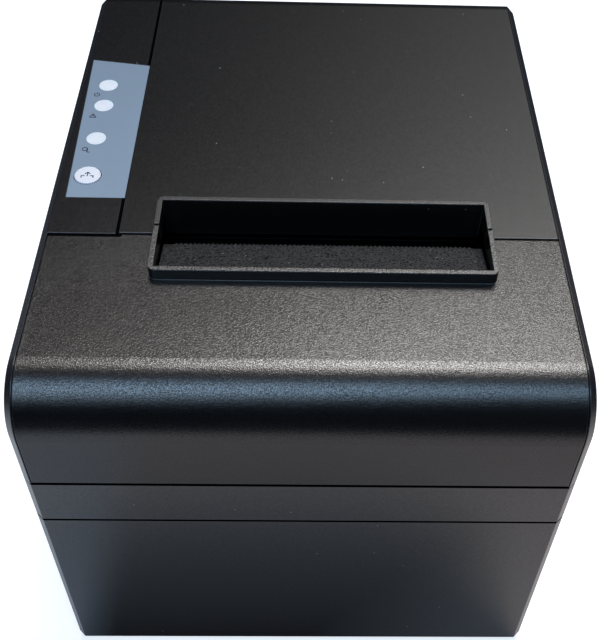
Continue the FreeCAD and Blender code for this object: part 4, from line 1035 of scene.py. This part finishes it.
@dataclass
class PaperPath:
    """What the paper runs over: well, guide, platen, print head and tear bar."""

    def dress(self) -> None:
        """Give the paper path its finishes."""
        paint("tear_black", "tear_bar")
        paint("well_black", "paper_well", "paper_guide")
        paint("part_black", "paper_sensor", "platen_bushes")
        paint("platen_rubber", "platen_roller")
        paint("steel_ground", "platen_shaft", "head_pivot_pin")
        paint("steel_oxide_and_shade", "platen_bracket")
        paint("sheet_zinc", "mech_frame")
        paint("alloy_sink", "heat_sink")
        paint("head_ceramic", "print_head")
        paint("steel_blade", "head_springs")


@dataclass
class Drives:
    """Feed gears, cutter and latch.

    Attributes:
        ridge: Size of a grip ridge on the release tab.
        ridge_pitch: Spacing of the ridges.
        ridges: Number of ridges.
        tab_inset: Way from the tab's rear end to the middle of the ridges.
        tab_drop: Way from the tab's top to the middle of the ridges.
    """

    ridge: Point = (0.0008, 0.0007, 0.002)
    ridge_pitch: float = 0.0016
    ridges: int = 7
    tab_inset: float = 0.007
    tab_drop: float = 0.002

    def grip_lever(self) -> None:
        """Put a row of ridges on the outer face of the release tab."""
        high = span("release_lever")[1]
        start = high.y - self.tab_inset - self.ridge_pitch * (self.ridges - 1) / 2
        row = BarRow("lever_ridges", "lever_black", (high.x, start, high.z - self.tab_drop),
                     (0.0, self.ridge_pitch, 0.0), self.ridges, self.ridge)
        settle(row.name, row.mesh(), "release_lever")

    def dress(self) -> None:
        """Give the drives their finishes and the lever its grip."""
        self.grip_lever()
        paint("gear_white", "platen_gear", "idler_gear", "second_idler_gear", "feed_pinion",
              "cutter_gear", "rack_pinions", "cutter_motor_pinion")
        paint("steel_ground", "idler_pins", "cutter_shaft", "latch_shaft")
        paint("part_black", "feed_motor", "cutter_motor")
        paint("steel_blade", "latch_hooks")
        paint("steel_oxide_and_shade", "moving_blade", "fixed_blade")
        paint("sheet_zinc", "cutter_frame")
        paint("lever_black", "release_lever")


@dataclass
class ControlStrip:
    """The film-covered strip with its lights and feed button.

    Attributes:
        power_mark: Middle of the power mark, in millimetres.
        warning_mark: Middle of the warning mark.
        paper_mark: Middle of the paper mark.
        stroke: Width of the printed strokes.
    """

    power_mark: Pair = (-65.9, 29.6)
    warning_mark: Pair = (-65.6, 18.9)
    paper_mark: Pair = (-65.6, 2.9)
    stroke: float = 0.32

    def print_label(self) -> None:
        """Print a power, a warning and a paper mark on the label."""
        marks = Stencil()
        x, y = self.power_mark
        marks.ring((x, y), 0.8, self.stroke, (125.0, 415.0))
        marks.bar((x, y + 0.1), (x, y + 1.1), self.stroke)
        x, y = self.warning_mark
        corners = [(x - 1.0, y - 0.8), (x + 1.0, y - 0.8), (x, y + 0.95)]
        for index, corner in enumerate(corners):
            marks.bar(corner, corners[index - 1], self.stroke)
        marks.bar((x, y - 0.35), (x, y + 0.4), self.stroke)
        x, y = self.paper_mark
        marks.ring((x, y), 0.75, self.stroke)
        marks.bar((x + 0.75, y), (x + 0.75, y - 1.5), self.stroke)
        marks.bar((x + 0.75, y - 1.4), (x + 1.6, y - 1.4), self.stroke)
        top = span("control_label")[1].z
        mesh = marks.mesh("label_marks", "mark_ink", Matrix.Translation((0.0, 0.0, top)))
        settle("label_marks", mesh, "case")

    def print_button(self) -> None:
        """Print a sheet with an arrow on the feed button."""
        low, high = span("feed_button")
        middle = (low + high) / 2
        marks = Stencil()
        marks.bar((0.0, -0.6), (0.0, 0.9), self.stroke)
        for side in (-1, 1):
            marks.bar((0.0, 1.1), (side * 0.75, 0.35), self.stroke)
            marks.bar((side * 0.75, -0.45), (side * 1.7, -0.45), self.stroke)
            marks.bar((side * 1.7, -0.3), (side * 1.7, -1.3), self.stroke)
        place = Matrix.Translation((middle.x, middle.y, high.z))
        settle("button_marks", marks.mesh("button_marks", "mark_ink", place), "feed_button")

    def dress(self) -> None:
        """Give the strip its finishes and its printed marks."""
        self.print_label()
        self.print_button()
        paint("label_film", "control_label")
        paint("window_milk", "status_windows")
        paint("button_white", "feed_button")
        paint("board_green", "panel_board")
        paint("light_body", "panel_lights")
        paint("part_black", "tact_switch", "cover_switch")


@dataclass
class Electronics:
    """Main board, rear sockets, power switch and screws.

    Attributes:
        wire: Size of a contact wire.
        wire_pitch: Spacing of the wires.
        wire_inset: Way from a socket's rear face to the middle of its wires.
        wire_drop: Way from a socket's top to the middle of its wires.
        wire_lean: Turn of the wires about X, in radians.
        tongue: Size of the square socket's tongue.
        tongue_inset: Way from that socket's rear face to the tongue's middle.
        pad: Size of a contact pad on the tongue.
        pad_pitch: Spacing of the pads.
        pad_inset: Way from that socket's rear face to the pads' middle.
        pin_radius: Radius of the power socket's pin.
        pin_length: Its length.
        pin_inset: Way from that socket's rear face to the pin's middle.
        pin_round: Rounding of the pin's tip.
        pin_sides: Number of sides of the pin.
        rocker_pivot: Axis of the rocker.
        rocker_tilt: Turn of the rocker at rest, in degrees.
        rocker_fall: How far each half of the rocker falls over its length, and that length.
        rocker_face: Way from the axis to the middle of a half's face, outwards and along.
        mark_stroke: Width of the rocker's marks, in millimetres.
        bar_reach: Half length of the bar mark, in millimetres.
        ring_radius: Radius of the ring mark, in millimetres.
    """

    wire: Point = (0.0005, 0.0088, 0.0004)
    wire_pitch: float = 0.00102
    wire_inset: float = 0.0062
    wire_drop: float = 0.0034
    wire_lean: float = -0.38
    tongue: Point = (0.0056, 0.0075, 0.0032)
    tongue_inset: float = 0.0075
    pad: Point = (0.001, 0.0064, 0.0003)
    pad_pitch: float = 0.0025
    pad_inset: float = 0.0073
    pin_radius: float = 0.00105
    pin_length: float = 0.0086
    pin_inset: float = 0.0068
    pin_round: float = 0.0005
    pin_sides: int = 24
    rocker_pivot: Point = (-0.0675, 0.045, 0.046)
    rocker_tilt: float = -7.0
    rocker_fall: Pair = (0.96, 7.0)
    rocker_face: Pair = (0.00195, 0.0036)
    mark_stroke: float = 0.6
    bar_reach: float = 1.7
    ring_radius: float = 1.4

    def wire_jacks(self) -> None:
        """Put contact wires into the network and the drawer socket."""
        for node, count in (("network_socket", 8), ("drawer_socket", 6)):
            low, high = span(node)
            start = (low.x + high.x - self.wire_pitch * (count - 1)) / 2
            first = (start, high.y - self.wire_inset, high.z - self.wire_drop)
            row = BarRow(f"{node}_wires", "contact_gold", first, (self.wire_pitch, 0.0, 0.0), count,
                         self.wire, self.wire_lean)
            settle(row.name, row.mesh(), "case")

    def fit_tongue(self) -> None:
        """Put a tongue with contact pads into the square socket."""
        low, high = span("usb_socket")
        middle = (low + high) / 2
        rows = [BarRow("usb_tongue", "part_black", (middle.x, high.y - self.tongue_inset, middle.z),
                       (0.0, 0.0, 0.0), 1, self.tongue)]
        for name, side in (("usb_pads_low", -1), ("usb_pads_high", 1)):
            first = (middle.x - self.pad_pitch / 2, high.y - self.pad_inset,
                     middle.z + side * self.tongue[2] / 2)
            rows.append(BarRow(name, "contact_gold", first, (self.pad_pitch, 0.0, 0.0), 2, self.pad))
        for row in rows:
            settle(row.name, row.mesh(), "case")

    def fit_pin(self) -> None:
        """Put a round-tipped pin into the power socket."""
        low, high = span("power_socket")
        middle = (low + high) / 2
        seat = Matrix.Translation((middle.x, high.y - self.pin_inset, middle.z))
        pin = bmesh.new()
        bmesh.ops.create_cone(pin, cap_ends=True, segments=self.pin_sides, radius1=self.pin_radius,
                              radius2=self.pin_radius, depth=self.pin_length,
                              matrix=seat @ Matrix.Rotation(math.pi / 2, 4, "X"))
        tip = high.y - self.pin_inset + self.pin_length / 2 - self.pin_round
        edges = [edge for edge in pin.edges if all(vert.co.y > tip for vert in edge.verts)]
        bmesh.ops.bevel(pin, geom=edges, offset=self.pin_round, segments=3, affect="EDGES")
        mesh = bpy.data.meshes.new("power_pin")
        pin.to_mesh(mesh)
        pin.free()
        mesh.materials.append(FINISHES.get("contact_gold"))
        settle("power_pin", mesh, "case")

    def mark_rocker(self) -> None:
        """Print a bar and a ring on the two halves of the rocker."""
        tilted = Matrix.Rotation(math.radians(self.rocker_tilt), 4, "Z")
        seat = Matrix.Translation(self.rocker_pivot) @ tilted
        slope = math.atan2(*self.rocker_fall)
        outward, along = self.rocker_face
        for side, name in ((-1, "rocker_bar"), (1, "rocker_ring")):
            marks = Stencil()
            if side < 0:
                marks.bar((0.0, -self.bar_reach), (0.0, self.bar_reach), self.mark_stroke)
            else:
                marks.ring((0.0, 0.0), self.ring_radius, self.mark_stroke)
            half = Matrix.Translation((-outward, side * along, 0.0))
            face = Matrix.Rotation(side * slope, 4, "Z") @ Matrix.Rotation(-math.pi / 2, 4, "Y")
            settle(name, marks.mesh(name, "mark_white", seat @ half @ face), "power_rocker")

    def drive_screws(self) -> None:
        """Put recessed heads on every set of screws."""
        for node, heads_up in (("case_screws", False), ("mech_screws", True),
                               ("board_screws", True), ("panel_screws", False)):
            screws = ScrewSet(node, heads_up)
            settle(f"{node}_recessed", screws.mesh(), "case", node)

    def dress(self) -> None:
        """Give the electric pieces their finishes and small fittings."""
        self.wire_jacks()
        self.fit_tongue()
        self.fit_pin()
        self.mark_rocker()
        self.drive_screws()
        paint("board_green", "main_board")
        paint("sheet_zinc", "interface_plate")
        paint("part_black", "power_socket", "drawer_socket")
        paint("socket_metal", "usb_socket", "network_socket")
        paint("switch_black", "switch_body", "power_rocker")


@dataclass(frozen=True)
class Glow:
    """One soft light of the room, brightest in one direction and fading evenly round it.

    Attributes:
        azimuth: Degrees from +Y towards +X.
        elevation: Degrees above the floor.
        sharpness: How fast the light fades away from its middle.
        strength: Brightness of the middle.
        colour: Colour of the light.
        stretch: Scale of the X direction; below 1 the light is wider across.
    """

    azimuth: float
    elevation: float
    sharpness: float
    strength: float
    colour: Colour
    stretch: float = 1.0

    def shine(self, chart: Chart, way: Socket, under: Socket) -> Socket:
        """Add this light to the room's colour.

        Args:
            chart: The room's node tree.
            way: Direction in the room.
            under: Colour of the room so far.

        Returns:
            The colour with this light.
        """
        turn, rise = math.radians(self.azimuth), math.radians(self.elevation)
        middle = Vector((math.cos(rise) * math.sin(turn) * self.stretch,
                         math.cos(rise) * math.cos(turn), math.sin(rise))).normalized()
        wide = chart.vector("MULTIPLY", way, (self.stretch, 1.0, 1.0)).outputs[0]
        unit = chart.vector("NORMALIZE", wide).outputs[0]
        near = chart.vector("DOT_PRODUCT", unit, middle).outputs["Value"]
        fade = chart.math("MULTIPLY", chart.math("SUBTRACT", near, 1.0), self.sharpness)
        bright = chart.math("MULTIPLY", chart.math("EXPONENT", fade), self.strength)
        tint = chart.add("ShaderNodeVectorMath", {0: self.colour, "Scale": bright}, operation="SCALE")
        return chart.vector("ADD", under, tint.outputs[0]).outputs[0]


@dataclass
class Studio:
    """Floor, room light and camera.

    Attributes:
        eye: Place of the camera.
        yaw: Turn of the view to the right of +Y, in degrees.
        pitch: Tilt of the view below the horizon, in degrees.
        roll: Roll of the view, in degrees.
        focal: Focal length in pixels of a 600 by 640 picture.
        centre: Column of the picture that the lens points at.
        frame_height: Height of the picture in pixels.
        frame_width: Width of the picture in pixels.
        sensor: Width of the camera's sensor, in millimetres.
        nearest: Nearest distance that the camera sees.
        left_gloom: Light of the room on the printer's left.
        right_wall: Light of the room on its right.
        wall_turn: Directions, by their X, between which the gloom turns into the wall.
        mirrored: Share of the white background that gloss shows, small because the room was dark.
        floor_reach: Way from the middle of the floor to its edge.
        floor_pale: Colour of the floor in the picture.
        floor_lift: Light of the floor in the picture, which keeps it near white.
        pool_shade: Colour of the floor, as the printer mirrors it, close to the front, a painted
            shadow of the printer.
        pool_lit: The same further ahead and on the right, painted light.
        pool_left: The same on the left, painted light.
        pool_far: The same far away, painted dark.
        pool_ahead: Distances in Y over which the shade turns into the lit colour.
        pool_right: Places in X over which it does so on the right.
        pool_side: Places in X over which the left colour comes in.
        pool_end: Distances over which the far colour comes in.
        glows: Soft lights of the room.
    """

    eye: Point = (0.0007, -0.2347, 0.3220)
    yaw: float = 2.64
    pitch: float = 48.53
    roll: float = 2.68
    focal: float = 1014.9
    centre: float = 337.8
    frame_height: int = 640
    frame_width: int = 600
    sensor: float = 36.0
    nearest: float = 0.01
    left_gloom: Colour = (0.003, 0.003, 0.01)
    right_wall: Colour = (0.016, 0.016, 0.016)
    wall_turn: Pair = (-0.3, 0.6)
    mirrored: float = 0.002
    floor_reach: float = 3.0
    floor_pale: Colour = (0.7, 0.7, 0.7)
    floor_lift: float = 0.62
    pool_shade: Colour = (0.125, 0.097, 0.086)
    pool_lit: Colour = (0.79, 0.675, 0.625)
    pool_left: Colour = (0.79, 0.775, 0.8)
    pool_far: Colour = (0.05, 0.05, 0.062)
    pool_ahead: Pair = (0.0915, 0.1465)
    pool_right: Pair = (0.0, 0.078)
    pool_side: Pair = (-0.076, -0.061)
    pool_end: Pair = (0.26, 0.45)
    glows: tuple[Glow, ...] = (
        Glow(16.0, 60.5, 130.0, 10.1, (1.0, 0.97, 0.94), 0.45),
        Glow(16.0, 64.0, 320.0, 11.0, (1.0, 0.97, 0.94), 0.45),
        Glow(36.0, 50.0, 25.0, 2.37, (1.0, 0.985, 0.97)),
        Glow(16.0, 36.0, 30.0, 0.2, (1.0, 0.985, 0.97)),
        Glow(180.0, 67.0, 70.0, 5.2, (0.5, 0.74, 1.0), 0.3),
        Glow(206.0, 50.0, 60.0, 3.4, (0.55, 0.76, 1.0), 0.7),
        Glow(-22.0, 65.0, 380.0, 5.2, (1.0, 0.97, 0.94), 0.45),
        Glow(0.0, 85.0, 20.0, 0.24, (1.0, 1.0, 1.0)),
    )

    def build(self) -> None:
        """Set the whole studio up."""
        self.set_camera()
        self.lay_floor()
        self.light_world()
        bpy.context.scene.view_settings.view_transform = "Standard"

    def set_camera(self) -> None:
        """Point the camera as in the photograph."""
        yaw, pitch, roll = (math.radians(angle) for angle in (self.yaw, self.pitch, self.roll))
        ahead = Vector((math.sin(yaw) * math.cos(pitch), math.cos(yaw) * math.cos(pitch),
                        -math.sin(pitch)))
        right = Vector((math.cos(yaw), -math.sin(yaw), 0.0))
        up = right.cross(ahead)
        across = math.cos(roll) * right + math.sin(roll) * up
        upward = -math.sin(roll) * right + math.cos(roll) * up
        lens = bpy.data.cameras.new("camera")
        lens.sensor_width = self.sensor
        lens.lens = self.focal / self.frame_height * lens.sensor_width
        lens.shift_x = (self.frame_width / 2 - self.centre) / self.frame_height
        lens.clip_start = self.nearest
        camera = bpy.data.objects.new("camera", lens)
        turn = Matrix((across, upward, -ahead)).transposed().to_4x4()
        camera.matrix_world = Matrix.Translation(self.eye) @ turn
        bpy.context.scene.collection.objects.link(camera)
        bpy.context.scene.camera = camera

    def lay_floor(self) -> None:
        """Lay a pale floor that keeps the printer's shadow, and that the printer mirrors with painted
        shadow and light.
        """
        mesh = bpy.data.meshes.new("floor")
        sheet = bmesh.new()
        bmesh.ops.create_grid(sheet, x_segments=8, y_segments=8, size=self.floor_reach)
        sheet.to_mesh(mesh)
        sheet.free()
        floor = bpy.data.objects.new("floor", mesh)
        bpy.context.scene.collection.objects.link(floor)
        chart = Chart("floor_pale")
        mirrored = chart.add("ShaderNodeBsdfDiffuse", {"Color": self.painted_pool(chart)})
        pale = chart.add("ShaderNodeBsdfDiffuse", {"Color": (*self.floor_pale, 1.0)})
        lift = chart.add("ShaderNodeEmission", {
            "Color": (1.0, 1.0, 1.0, 1.0), "Strength": self.floor_lift})
        seen = chart.add("ShaderNodeAddShader", {0: pale.outputs[0], 1: lift.outputs[0]})
        path = chart.add("ShaderNodeLightPath").outputs
        direct = chart.math("MAXIMUM", path["Is Camera Ray"], path["Is Transmission Ray"])
        mixed = chart.add("ShaderNodeMixShader", {
            0: direct, 1: mirrored.outputs[0], 2: seen.outputs[0]})
        chart.tree.links.new(mixed.outputs[0], chart.output.inputs["Surface"])
        mesh.materials.append(chart.material)

    def painted_pool(self, chart: Chart) -> Socket:
        """Colour the floor as the printer mirrors it, with a painted shadow close to the front and
        painted light further ahead and to the sides.

        Args:
            chart: The floor's node tree.

        Returns:
            The colour.
        """
        place = chart.place()
        away = chart.vector("LENGTH", chart.coords).outputs["Value"]
        # Painted shadow of the printer in front, turning into painted light further ahead and on the
        # right.
        ahead = chart.spread(chart.math("ABSOLUTE", place["Y"]), self.pool_ahead)
        lit = chart.math("MAXIMUM", ahead, chart.spread(place["X"], self.pool_right))
        colour = chart.blend(lit, self.pool_shade, self.pool_lit)
        left = chart.spread(place["X"], self.pool_side, (1.0, 0.0))
        colour = chart.blend(left, colour, self.pool_left)
        return chart.blend(chart.spread(away, self.pool_end), colour, self.pool_far)

    def light_world(self) -> None:
        """Light the room with soft glows, a navy gloom on the left and a pale wall on the right."""
        world = bpy.data.worlds.new("room")
        bpy.context.scene.world = world
        world.use_nodes = True
        chart = Chart.of_world(world)
        way = chart.add("ShaderNodeTexCoord").outputs["Generated"]
        across = chart.add("ShaderNodeSeparateXYZ", {0: way}).outputs["X"]
        total = chart.blend(chart.spread(across, self.wall_turn), self.left_gloom, self.right_wall)
        for glow in self.glows:
            total = glow.shine(chart, way, total)
        path = chart.add("ShaderNodeLightPath").outputs
        seen = chart.math("MAXIMUM", path["Is Camera Ray"], path["Is Transmission Ray"])
        gloss = chart.math("MULTIPLY", path["Is Glossy Ray"], self.mirrored)
        white = chart.blend(chart.math("MAXIMUM", seen, gloss), total, (1.0, 1.0, 1.0))
        shade = chart.add("ShaderNodeBackground", {"Color": white})
        chart.tree.links.new(shade.outputs[0], chart.output.inputs["Surface"])


def main() -> None:
    """Dress every sub-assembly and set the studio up."""
    logging.basicConfig(level=logging.INFO)
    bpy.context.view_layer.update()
    for assembly in (Housing(), PaperPath(), Drives(), ControlStrip(), Electronics()):
        assembly.dress()
        LOG.info("dressed %s", type(assembly).__name__)
    Studio().build()
    bpy.context.view_layer.update()


if __name__ == "__main__":
    main()
